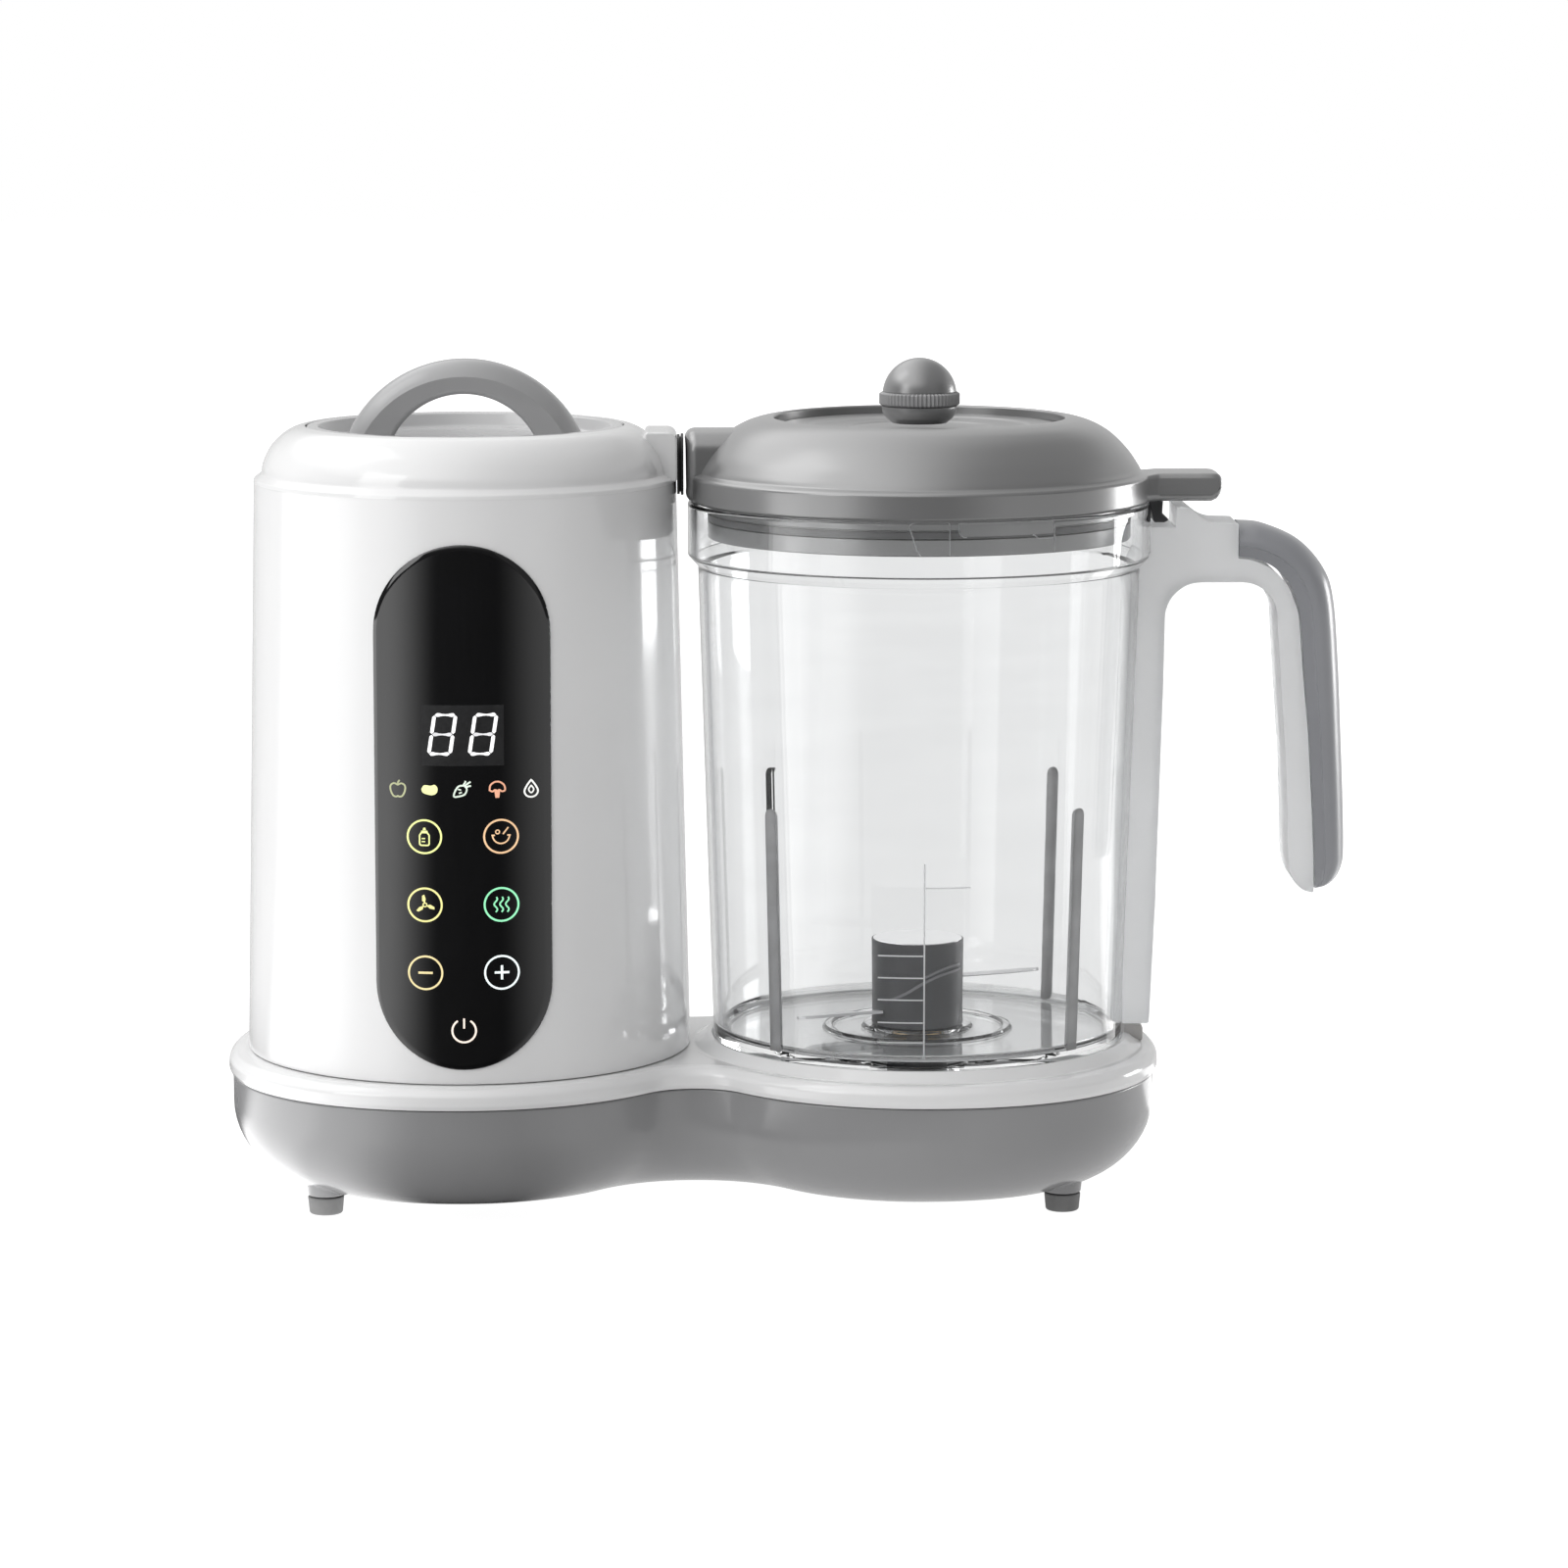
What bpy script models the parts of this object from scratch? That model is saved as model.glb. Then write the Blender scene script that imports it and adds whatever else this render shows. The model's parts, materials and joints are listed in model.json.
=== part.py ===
"""Baby food maker: a warming tower and a blending jug on one figure-8 base.

Metres, +Z up.  The origin is under the middle of the object, on the surface that it
stands on.  The tower stands at -X and the jug at +X.
"""
import math

import bmesh
import bpy
from mathutils import Vector

# Driving dimensions, metres
TOWER_X = -0.08755
JUG_X = 0.03635
GAP = 0.0003
ROUND_STEPS = 36
INNER_STEPS = 20
SMALL_STEPS = 12

# Base
LOBE_R = 0.0652
WAIST_R = 0.017
LOBE_SQUARENESS = 2.2
SHELL_BOTTOM_Z = 0.0047
SHELL_ROUND_R = 0.025
SHELL_ROUND_H = 0.022
PARTING_Z = 0.0350
PLATE_Z = 0.0410
PLATE_WALL = 0.0030
SHELL_WALL = 0.0024
SEAT_Z = 0.0396
SEAT_R = 0.0567
FOOT_R = 0.0050
FOOT_TOP_Z = 0.0048
FOOT_OFFSET = (0.0383, 0.0320)
SCREW_OFFSET = (0.0215, 0.0330)
SCREW_HOLE_R = 0.0020
SCREW_HEAD_R = 0.0032
SCREW_HEAD_Z = (0.0050, 0.0068)
SEAT_RIM_R = 0.0620
SEAT_RIM_Z = 0.0436
GLAND_R = 0.0050
GLAND_Y = 0.0380
GLAND_Z = 0.0245
BOARD_POST_OFFSET = (0.0290, 0.0180)
BOARD_Z = (0.0180, 0.0196)
DRIVE_HOLE_R = 0.0092

# Tower
TOWER_FOOT_R = 0.0610
TOWER_TOP_R = 0.0575
TOWER_TOP_Z = 0.1970
TOWER_WALL = 0.0024
PANEL_WIDTH = 0.0467
PANEL_Z = (0.0452, 0.1850)
PANEL_PROUD = 0.0007
PANEL_THICK = 0.0023
PANEL_STOCK_Y = -0.0550
PANEL_STOCK_HALF = 0.0150
WELL_R = 0.0370
WELL_WALL = 0.0016
WELL_Z = (0.0980, 0.2046)
DISH_Z = 0.2082
LID_FACE_Z = 0.2120
SHOULDER_RECESS_R = 0.0434
BOSS_HALF_WIDTH = 0.0115
PORT_Z = 0.2035
OUTLET_Z = 0.1890
SEAL_X = (0.0580, 0.0595)

# Drive
MOTOR_R = 0.0240
MOTOR_Z = (0.0250, 0.0780)
SHAFT_R = 0.0025
BELT_Z = (0.0105, 0.0155)
MOTOR_PULLEY_R = 0.0080
DRIVEN_PULLEY_R = 0.0160
BELT_THICK = 0.0014
SPINDLE_R = 0.0030
INTERLOCK_OFFSET = 0.0597
PLUNGER_HOLE_R = 0.0018
COUPLER_TEETH = 6
COUPLER_R = 0.0068

# Jug
RIM_R = 0.0633
RIM_Z = (0.1778, 0.1910)
BODY_TOP_R = 0.0605
BODY_FOOT_R = 0.0564
JUG_FOOT_Z = 0.0399
JUG_FLOOR_Z = 0.0452
JUG_WALL = 0.0023
TURRET_R = 0.0106
TURRET_TOP_Z = 0.0602
RIB_R = 0.0019
RIB_Z = (0.0440, 0.1118)
HANDLE_HALF_DEPTH = 0.0110
HUB_R = 0.0127
HUB_Z = (0.0460, 0.0700)
BLADE_THICK = 0.0008
BLADE_SHAFT_R = 0.0025
BLADE_TURN = math.radians(20.0)
BLADE_PITCH = math.radians(-8.0)

# Lid
FLANGE_R = 0.0628
FLANGE_Z = (0.1913, 0.1990)
LID_RIM_R = 0.0399
LID_TOP_Z = 0.2140
SKIRT_R = 0.0578
SKIRT_Z = (0.1816, 0.1910)
DUCT_REACH = 0.0641
DUCT_HALF_WIDTH = 0.0105
DUCT_TOP_Z = 0.2107
TAB_REACH = 0.0822
KNOB_BALL_R = 0.0101
KNOB_BALL_Z = 0.2199
KNOB_BOTTOM_Z = 0.2123

WHITE = ((0.90, 0.90, 0.90), 0.18, 0.0)
GREY = ((0.34, 0.34, 0.34), 0.38, 0.0)
DARK_GREY = ((0.09, 0.09, 0.10), 0.45, 0.0)
BLACK_GLASS = ((0.01, 0.01, 0.01), 0.06, 0.0)
RUBBER = ((0.20, 0.20, 0.20), 0.80, 0.0)
BLACK_RUBBER = ((0.02, 0.02, 0.02), 0.70, 0.0)
CLEAR = ((0.88, 0.90, 0.90), 0.05, 0.0)
FROSTED = ((0.75, 0.76, 0.77), 0.45, 0.0)
SATIN_BLUE_GREY = ((0.35, 0.37, 0.41), 0.30, 0.2)
STEEL = ((0.60, 0.60, 0.62), 0.28, 1.0)
ALUMINIUM = ((0.75, 0.75, 0.76), 0.40, 1.0)
BRASS = ((0.75, 0.58, 0.30), 0.35, 1.0)
BOARD_GREEN = ((0.03, 0.17, 0.08), 0.50, 0.0)
BEIGE_GREY = ((0.55, 0.53, 0.50), 0.50, 0.0)
SILICONE = ((0.80, 0.80, 0.80), 0.60, 0.0)

for old in list(bpy.data.objects):
    bpy.data.objects.remove(old, do_unlink=True)


def new_collection(name):
    collection = bpy.data.collections.new(name)
    bpy.context.scene.collection.children.link(collection)
    return collection


PARTS = new_collection("baby_food_maker")
CUTTERS = new_collection("cutters")


# Building helpers
def material(name, look):
    colour, roughness, metallic = look
    result = bpy.data.materials.new(name)
    result.use_nodes = True
    shader = result.node_tree.nodes["Principled BSDF"]
    shader.inputs["Base Color"].default_value = (*colour, 1.0)
    shader.inputs["Roughness"].default_value = roughness
    shader.inputs["Metallic"].default_value = metallic
    return result


def place(obj, location=(0.0, 0.0, 0.0)):
    obj.location = location
    return obj


def mesh_object(name, mesh):
    obj = bpy.data.objects.new(name, mesh)
    CUTTERS.objects.link(obj)
    return obj


def baked(obj):
    """Apply the object's modifiers, or turn a curve into a welded mesh."""
    bpy.context.view_layer.update()
    evaluated = obj.evaluated_get(bpy.context.evaluated_depsgraph_get())
    mesh = bpy.data.meshes.new_from_object(evaluated)
    work = bmesh.new()
    work.from_mesh(mesh)
    bmesh.ops.remove_doubles(work, verts=work.verts, dist=0.000002)
    work.to_mesh(mesh)
    work.free()
    result = mesh_object(obj.name + "_mesh", mesh)
    result.matrix_world = obj.matrix_world.copy()
    name = obj.name
    bpy.data.objects.remove(obj, do_unlink=True)
    result.name = name
    return result


def smooth(obj, angle=35.0):
    obj.data.shade_smooth()
    obj.data.set_sharp_from_angle(angle=math.radians(angle))
    return obj


def part(obj, name, look, parent=None):
    """Name a finished sub-part, give it its material and hang it on its joint."""
    obj.name = name
    obj.data.name = name
    obj.data.materials.clear()
    obj.data.materials.append(material(name, look))
    CUTTERS.objects.unlink(obj)
    PARTS.objects.link(obj)
    if parent is not None:
        obj.parent = parent
        obj.location = obj.location - parent.location
    return obj


def joint_empty(name, location):
    empty = bpy.data.objects.new(name, None)
    empty.location = location
    PARTS.objects.link(empty)
    return empty


def turned(name, profile, location=(0.0, 0.0, 0.0), steps=ROUND_STEPS, closed=False):
    """Turn a profile of (radius, z) about Z, running down its outer side."""
    work = bmesh.new()
    points = [work.verts.new((radius, 0.0, z)) for radius, z in profile]
    for start, end in zip(points, points[1:]):
        work.edges.new((start, end))
    if closed:
        work.edges.new((points[-1], points[0]))
    mesh = bpy.data.meshes.new(name)
    work.to_mesh(mesh)
    work.free()
    obj = place(mesh_object(name, mesh), location)
    screw = obj.modifiers.new("turn", "SCREW")
    screw.axis = "Z"
    screw.angle = math.tau
    screw.steps = steps
    screw.render_steps = steps
    screw.use_merge_vertices = True
    screw.merge_threshold = 0.00001
    return smooth(baked(obj))


def rod(name, radius, low, high, location=(0.0, 0.0, 0.0), steps=SMALL_STEPS):
    profile = [(0.0, high), (radius, high), (radius, low), (0.0, low)]
    return turned(name, profile, location, steps)


def tube(name, inner, outer, low, high, location=(0.0, 0.0, 0.0), steps=SMALL_STEPS):
    profile = [(outer, high), (outer, low), (inner, low), (inner, high)]
    return turned(name, profile, location, steps, closed=True)


def cross_bore(name, radius, start_x, length, z):
    """A round cutter that runs along +X."""
    bore = rod(name, radius, 0.0, length)
    bore.rotation_euler.y = math.radians(90.0)
    bore.location = (start_x, 0.0, z)
    return bore


def box(name, low, high, bevel=0.0, segments=1):
    size = Vector(high) - Vector(low)
    work = bmesh.new()
    bmesh.ops.create_cube(work, size=1.0)
    bmesh.ops.scale(work, vec=size, verts=work.verts)
    mesh = bpy.data.meshes.new(name)
    work.to_mesh(mesh)
    work.free()
    obj = place(mesh_object(name, mesh), (Vector(high) + Vector(low)) / 2.0)
    if bevel:
        add_bevel(obj, bevel, segments)
        obj = baked(obj)
    return obj


def add_bevel(obj, width, segments=2, angle=40.0):
    bevel = obj.modifiers.new("round_edges", "BEVEL")
    bevel.width = width
    bevel.segments = segments
    bevel.limit_method = "ANGLE"
    bevel.angle_limit = math.radians(angle)


def add_solidify(obj, thickness):
    solid = obj.modifiers.new("wall", "SOLIDIFY")
    solid.thickness = thickness
    solid.offset = -1.0
    solid.use_even_offset = True


def boolean(obj, tool, operation="DIFFERENCE"):
    """Cut or join with a tool, which stays as a hidden wire object."""
    modifier = obj.modifiers.new(operation.lower(), "BOOLEAN")
    modifier.operation = operation
    modifier.object = tool
    modifier.solver = "EXACT"
    tool.hide_render = True
    tool.display_type = "WIRE"
    return obj


def outline_curve(name, loops, half_thickness):
    """Flat closed outlines in XY, extruded both ways along Z."""
    curve = bpy.data.curves.new(name, "CURVE")
    curve.dimensions = "2D"
    curve.fill_mode = "BOTH"
    curve.extrude = half_thickness
    for points in loops:
        spline = curve.splines.new("POLY")
        spline.points.add(len(points) - 1)
        for point, (x, y) in zip(spline.points, points):
            point.co = (x, y, 0.0, 1.0)
        spline.use_cyclic_u = True
    obj = bpy.data.objects.new(name, curve)
    CUTTERS.objects.link(obj)
    return obj


def flat_plate(name, loops, low, high):
    """A level plate between two heights."""
    obj = outline_curve(name, loops, (high - low) / 2.0)
    obj.location = (0.0, 0.0, (high + low) / 2.0)
    return baked(obj)


def upright_plate(name, points, centre, half_thickness):
    """A plate that stands in the XZ plane, its outline given as (x, z)."""
    obj = outline_curve(name, [points], half_thickness)
    obj.location = centre
    obj.rotation_euler = (math.radians(90.0), 0.0, 0.0)
    return baked(obj)


def pipe(name, points, radius, wall):
    """A hollow round pipe along a row of points."""
    curve = bpy.data.curves.new(name, "CURVE")
    curve.dimensions = "3D"
    curve.bevel_depth = radius
    curve.bevel_resolution = 2
    spline = curve.splines.new("POLY")
    spline.points.add(len(points) - 1)
    for point, position in zip(spline.points, points):
        point.co = (*position, 1.0)
    obj = bpy.data.objects.new(name, curve)
    CUTTERS.objects.link(obj)
    obj = baked(obj)
    add_solidify(obj, wall)
    return smooth(obj, 60.0)


def arc(centre, radius, start, end, steps):
    """Points on an arc, angles in degrees, both ends included."""
    points = []
    for step in range(steps + 1):
        angle = math.radians(start + (end - start) * step / steps)
        points.append((centre[0] + radius * math.cos(angle), centre[1] + radius * math.sin(angle)))
    return points


def rounded(points, radius, steps=3):
    """Round every corner of a closed outline."""
    result = []
    count = len(points)
    for index, corner in enumerate(points):
        corner = Vector(corner)
        before = Vector(points[index - 1]) - corner
        after = Vector(points[(index + 1) % count]) - corner
        reach = min(radius, before.length * 0.45, after.length * 0.45)
        start = corner + before.normalized() * reach
        end = corner + after.normalized() * reach
        for step in range(steps + 1):
            t = step / steps
            point = start * (1 - t) ** 2 + corner * 2 * t * (1 - t) + end * t ** 2
            result.append((point.x, point.y))
    return result


def stadium(width, low, high, steps=10):
    """An upright outline with round ends, as (x, z)."""
    radius = width / 2.0
    top = arc((0.0, high - radius), radius, 0.0, 180.0, steps)
    bottom = arc((0.0, low + radius), radius, 180.0, 360.0, steps)
    return top + bottom


INTERLOCK_X = JUG_X + INTERLOCK_OFFSET

# The figure-8 plan: two lobes, a little squared at the outer ends, and a fillet at the waist
MIDDLE_X = (TOWER_X + JUG_X) / 2.0
HALF_SPACING = (JUG_X - TOWER_X) / 2.0
FILLET_Y = math.sqrt((LOBE_R + WAIST_R) ** 2 - HALF_SPACING ** 2)
TANGENT = math.degrees(math.atan2(FILLET_Y, -HALF_SPACING))


def lobe_radius(radius, angle):
    """Radius of a lobe at an angle from its outer end; the outer half is a superellipse."""
    if abs(angle) >= 90.0:
        return radius
    turn = math.radians(angle)
    power = LOBE_SQUARENESS
    return radius / (abs(math.cos(turn)) ** power + abs(math.sin(turn)) ** power) ** (1.0 / power)


def base_plan(offset):
    """The plan's outline, moved outwards by an offset; every offset has the same points."""
    radius = LOBE_R + offset
    inner = [90.0 + (TANGENT - 90.0) * step / 3 for step in (1, 2, 3)]
    angles = [-angle for angle in reversed(inner)] + [-90.0 + 180.0 * step / 14 for step in range(15)] + inner
    half = []
    for angle in angles:
        reach = lobe_radius(radius, angle)
        turn = math.radians(angle)
        half.append((HALF_SPACING + reach * math.cos(turn), reach * math.sin(turn)))
    fillet = arc((0.0, FILLET_Y), WAIST_R - offset, TANGENT - 180.0, -TANGENT, 4)[1:-1]
    back = [(-x, -y) for x, y in half]
    front = [(-x, -y) for x, y in fillet]
    return [(MIDDLE_X + x, y) for x, y in half + fillet + back + front]


def base_loft(name, rings, caps):
    """A surface through rings of (offset, z) of the plan, with an end capped or both."""
    work = bmesh.new()
    loops = []
    for offset, z in rings:
        loops.append([work.verts.new((x, y, z)) for x, y in base_plan(offset)])
    for lower, upper in zip(loops, loops[1:]):
        edges = []
        for loop in (lower, upper):
            for start, end in zip(loop, loop[1:] + loop[:1]):
                edges.append(work.edges.get((start, end)) or work.edges.new((start, end)))
        bmesh.ops.bridge_loops(work, edges=edges)
    if "bottom" in caps:
        work.faces.new(loops[0])
    if "top" in caps:
        work.faces.new(loops[-1])
    bmesh.ops.recalc_face_normals(work, faces=work.faces)
    mesh = bpy.data.meshes.new(name)
    work.to_mesh(mesh)
    work.free()
    return mesh_object(name, mesh)


# Base
def make_base_lower_shell():
    rings = []
    for step in range(5):
        angle = math.radians(90.0 * step / 4)
        offset = SHELL_ROUND_R * (math.sin(angle) - 1.0)
        rings.append((offset, SHELL_BOTTOM_Z + SHELL_ROUND_H * (1.0 - math.cos(angle))))
    rings.append((0.0, PARTING_Z - GAP / 2.0))
    shell = base_loft("base_lower_shell", rings, ["bottom"])
    add_solidify(shell, SHELL_WALL)
    shell = smooth(baked(shell), 40.0)
    for index, (x, y) in enumerate(screw_positions()):
        boolean(shell, rod(f"screw_boss_{index}", SCREW_HEAD_R + 0.0014, 0.0056, 0.0094, (x, y, 0.0)), "UNION")
        boolean(shell, rod(f"screw_sink_{index}", SCREW_HEAD_R + GAP, 0.0, SCREW_HEAD_Z[1] + GAP, (x, y, 0.0)))
        boolean(shell, rod(f"screw_hole_{index}", SCREW_HOLE_R, 0.0, 0.0120, (x, y, 0.0)))
    gland_hole = rod("gland_hole", GLAND_R + GAP, -0.0100, 0.0100)
    gland_hole.rotation_euler.x = math.radians(90.0)
    gland_hole.location = (MIDDLE_X, GLAND_Y, GLAND_Z)
    boolean(shell, gland_hole)
    for index, (x, y) in enumerate(foot_positions().values()):
        boolean(shell, rod(f"foot_boss_{index}", FOOT_R, FOOT_TOP_Z + GAP, 0.0085, (x, y, 0.0)), "UNION")
    post_dx, post_dy = BOARD_POST_OFFSET
    for index, y in enumerate((-post_dy, post_dy)):
        low, high = SHELL_BOTTOM_Z + 0.0010, BOARD_Z[0] - GAP
        boolean(shell, rod(f"board_post_{index}", 0.0030, low, high, (JUG_X + post_dx, y, 0.0), 10), "UNION")
    part(shell, "base_lower_shell", GREY)


def make_base_top_plate():
    rings = [(0.0004, PARTING_Z + GAP / 2.0), (0.0011, 0.0363), (0.0011, 0.0379), (0.0, 0.0400),
             (-0.0018, PLATE_Z)]
    plate = smooth(base_loft("base_top_plate", rings, ["bottom", "top"]), 40.0)
    pocket = [(-0.0026, PARTING_Z - 0.0010), (-0.0026, PLATE_Z - PLATE_WALL)]
    boolean(plate, base_loft("plate_pocket", pocket, ["bottom", "top"]))
    for index, (x, y) in enumerate(screw_positions()):
        post = tube(f"screw_post_{index}", 0.0017, 0.0038, 0.0140, 0.0390, (x, y, 0.0), 10)
        boolean(plate, post, "UNION")
    boolean(plate, rod("tower_opening", 0.0345, 0.0340, 0.0450, (TOWER_X, 0.0, 0.0), 36))
    rim = turned("seat_rim", [(SEAT_R + 0.0007, SEAT_RIM_Z), (SEAT_RIM_R, 0.0412), (SEAT_RIM_R, 0.0400),
                              (SEAT_R - 0.0010, 0.0400), (SEAT_R - 0.0010, 0.0430)],
                 (JUG_X, 0.0, 0.0), closed=True)
    notch = box("boss_notch", (JUG_X + 0.0500, -0.0048, 0.0390), (JUG_X + 0.0680, 0.0048, 0.0450))
    boolean(plate, boolean(rim, notch), "UNION")
    boolean(plate, rod("jug_seat", SEAT_R, SEAT_Z, 0.0450, (JUG_X, 0.0, 0.0), ROUND_STEPS))
    boolean(plate, rod("drive_hole", DRIVE_HOLE_R, 0.0340, 0.0450, (JUG_X, 0.0, 0.0), 16))
    boolean(plate, rod("plunger_hole", PLUNGER_HOLE_R, 0.0340, 0.0450, (INTERLOCK_X, 0.0, 0.0), 10))
    part(plate, "base_top_plate", WHITE)


def screw_positions():
    dx, dy = SCREW_OFFSET
    places = []
    for lobe_x, side in ((TOWER_X, -1.0), (JUG_X, 1.0)):
        for sign in (-1.0, 1.0):
            places.append((lobe_x + side * dx, sign * dy))
    return places


def foot_positions():
    dx, dy = FOOT_OFFSET
    return {"foot_front_left": (TOWER_X - dx, -dy), "foot_front_right": (JUG_X + dx, -dy),
            "foot_back_left": (TOWER_X - dx, dy), "foot_back_right": (JUG_X + dx, dy)}


def make_feet():
    profile = [(0.0, FOOT_TOP_Z), (FOOT_R, FOOT_TOP_Z), (FOOT_R - 0.0006, 0.0), (0.0, 0.0)]
    for name, (x, y) in foot_positions().items():
        part(turned(name, profile, (x, y, 0.0), 16), name, RUBBER)


def make_base_screws():
    head_low, head_high = SCREW_HEAD_Z
    profile = [(0.0, 0.0240), (0.0014, 0.0240), (0.0014, head_high), (SCREW_HEAD_R, head_high),
               (SCREW_HEAD_R, head_low), (0.0, head_low)]
    for index, (x, y) in enumerate(screw_positions()):
        name = f"base_screw_{index + 1}"
        part(turned(name, profile, (x, y, 0.0), 8), name, STEEL)


def make_cord_gland():
    profile = [(GLAND_R, 0.0035), (GLAND_R, -0.0008), (0.0066, -0.0008), (0.0066, -0.0040),
               (0.0045, -0.0110), (0.0030, -0.0110), (0.0030, 0.0035)]
    gland = turned("cord_gland", profile, steps=SMALL_STEPS, closed=True)
    gland.rotation_euler.x = math.radians(90.0)
    gland.location = (MIDDLE_X, GLAND_Y, GLAND_Z)
    part(gland, "cord_gland", BLACK_RUBBER)


# Tower
def tower_radius(z):
    share = (z - PLATE_Z) / (TOWER_TOP_Z - PLATE_Z)
    return TOWER_FOOT_R + (TOWER_TOP_R - TOWER_FOOT_R) * share


def tower_band(name, low, high, outer, inner, steps=ROUND_STEPS):
    """A band that follows the tower's slope, its faces offset from the tower's outside."""
    profile = [(tower_radius(high) + outer, high), (tower_radius(low) + outer, low),
               (tower_radius(low) + inner, low), (tower_radius(high) + inner, high)]
    return turned(name, profile, (TOWER_X, 0.0, 0.0), steps, closed=True)


def panel_stock(name, gap):
    """A cutter with the panel's outline that runs through the tower's front wall."""
    outline = stadium(PANEL_WIDTH + 2 * gap, PANEL_Z[0] - gap, PANEL_Z[1] + gap)
    return upright_plate(name, outline, (TOWER_X, PANEL_STOCK_Y, 0.0), PANEL_STOCK_HALF)


def make_tower_shell():
    shell = tower_band("tower_shell", PLATE_Z + GAP, TOWER_TOP_Z, 0.0, -TOWER_WALL)
    part(boolean(shell, panel_stock("panel_window", GAP)), "tower_shell", WHITE)


def make_control_panel():
    panel = tower_band("control_panel", PANEL_Z[0] - 0.0020, PANEL_Z[1] + 0.0020,
                       PANEL_PROUD, PANEL_PROUD - PANEL_THICK, 96)
    part(boolean(panel, panel_stock("panel_outline", 0.0), "INTERSECT"), "control_panel", BLACK_GLASS)


def make_panel_electronics():
    board = box("control_board", (TOWER_X - 0.0190, -0.0476, 0.0560), (TOWER_X + 0.0190, -0.0460, 0.1740))
    part(board, "control_board", BOARD_GREEN)
    display = box("display_module", (TOWER_X - 0.0120, -0.0545, 0.1250), (TOWER_X + 0.0120, -0.0479, 0.1445))
    part(display, "display_module", DARK_GREY)


def make_tower_shoulder():
    profile = [(0.0439, 0.2121), (0.0482, 0.2109), (0.0518, 0.2078), (0.0540, 0.2036), (0.0554, 0.1992),
               (0.0575, 0.1982), (0.0575, 0.1973), (0.0552, 0.1973), (0.0515, 0.2036), (0.0481, 0.2080),
               (0.0446, 0.2098), (0.0444, 0.2030), (0.0392, 0.2030), (0.0392, 0.2052),
               (SHOULDER_RECESS_R, 0.2052), (SHOULDER_RECESS_R, 0.2121)]
    shoulder = turned("tower_shoulder", profile, (TOWER_X, 0.0, 0.0), closed=True)
    outline = [(0.0516, 0.1974), (0.0577, 0.1974), (0.0577, 0.2107), (0.0495, 0.2107), (0.0495, 0.2072),
               (0.0516, 0.2072)]
    boss = upright_plate("steam_boss", outline, (TOWER_X, 0.0, 0.0), BOSS_HALF_WIDTH)
    add_bevel(boss, 0.0020, 1)
    boolean(shoulder, boss, "UNION")
    bore = cross_bore("steam_bore", 0.0036, TOWER_X + 0.0460, 0.0150, PORT_Z)
    part(boolean(shoulder, bore), "tower_shoulder", WHITE)


def make_steam_seal():
    """An upright rubber pad on the boss; the lid's duct faces it across a small gap."""
    low, high = SEAL_X
    outline = rounded([(-0.0100, 0.1932), (0.0100, 0.1932), (0.0100, 0.2090), (-0.0100, 0.2090)], 0.0034)
    seal = upright_plate("steam_seal", outline, (0.0, 0.0, 0.0), (high - low) / 2.0)
    seal.rotation_euler.z = math.radians(90.0)
    seal.location.x = TOWER_X + (high + low) / 2.0
    bore = cross_bore("seal_bore", 0.0042, TOWER_X + 0.0560, 0.0100, PORT_Z)
    part(boolean(seal, bore), "steam_seal", BLACK_RUBBER)


def make_steam_pipe():
    rise_x = TOWER_X + 0.0480
    bend = 0.0040
    points = [(TOWER_X + 0.0374, 0.0, OUTLET_Z)]
    points += [(x, 0.0, z) for x, z in arc((rise_x - bend, OUTLET_Z + bend), bend, -90.0, 0.0, 4)]
    points += [(x, 0.0, z) for x, z in arc((rise_x + bend, PORT_Z - bend), bend, 180.0, 90.0, 4)]
    points.append((TOWER_X + 0.0572, 0.0, PORT_Z))
    part(pipe("steam_pipe", points, 0.0030, 0.0009), "steam_pipe", SILICONE)


def make_warming_well():
    outer = WELL_R + WELL_WALL
    low, high = WELL_Z
    profile = [(outer, high), (outer, low + 0.0040), (outer - 0.0040, low), (0.0, low)]
    inside = [(0.0, low + WELL_WALL), (WELL_R - 0.0030, low + WELL_WALL), (WELL_R, low + 0.0045), (WELL_R, high)]
    well = turned("warming_well", profile + inside, (TOWER_X, 0.0, 0.0), closed=True)
    outlet = cross_bore("steam_outlet", 0.0033, TOWER_X + 0.0330, 0.0100, OUTLET_Z)
    part(boolean(well, outlet), "warming_well", ALUMINIUM)


def make_heater_plate():
    high = WELL_Z[0] - GAP
    profile = [(0.0, high), (0.0330, high), (0.0330, high - 0.0080), (0.0240, high - 0.0080),
               (0.0240, high - 0.0050), (0.0, high - 0.0050)]
    part(turned("heater_plate", profile, (TOWER_X, 0.0, 0.0), INNER_STEPS), "heater_plate", ALUMINIUM)


def make_warmer_lid(parent):
    centre = (TOWER_X, 0.0, 0.0)
    profile = [(0.0, DISH_Z), (0.0384, DISH_Z), (0.0392, 0.2088), (0.0396, 0.2117), (0.0401, LID_FACE_Z),
               (0.0424, LID_FACE_Z), (0.0430, 0.2114), (0.0430, 0.2056), (0.0364, 0.2056), (0.0364, 0.2040),
               (0.0352, 0.2040), (0.0352, 0.2015), (0.0364, 0.2015), (0.0364, 0.2000), (0.0340, 0.2000),
               (0.0340, 0.2062), (0.0, 0.2062)]
    part(turned("warmer_lid", profile, centre), "warmer_lid", WHITE, parent)
    ring = tube("warmer_gasket", 0.0356, 0.0366, 0.2018, 0.2037, centre, 24)
    part(ring, "warmer_gasket", SILICONE, parent)


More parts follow.
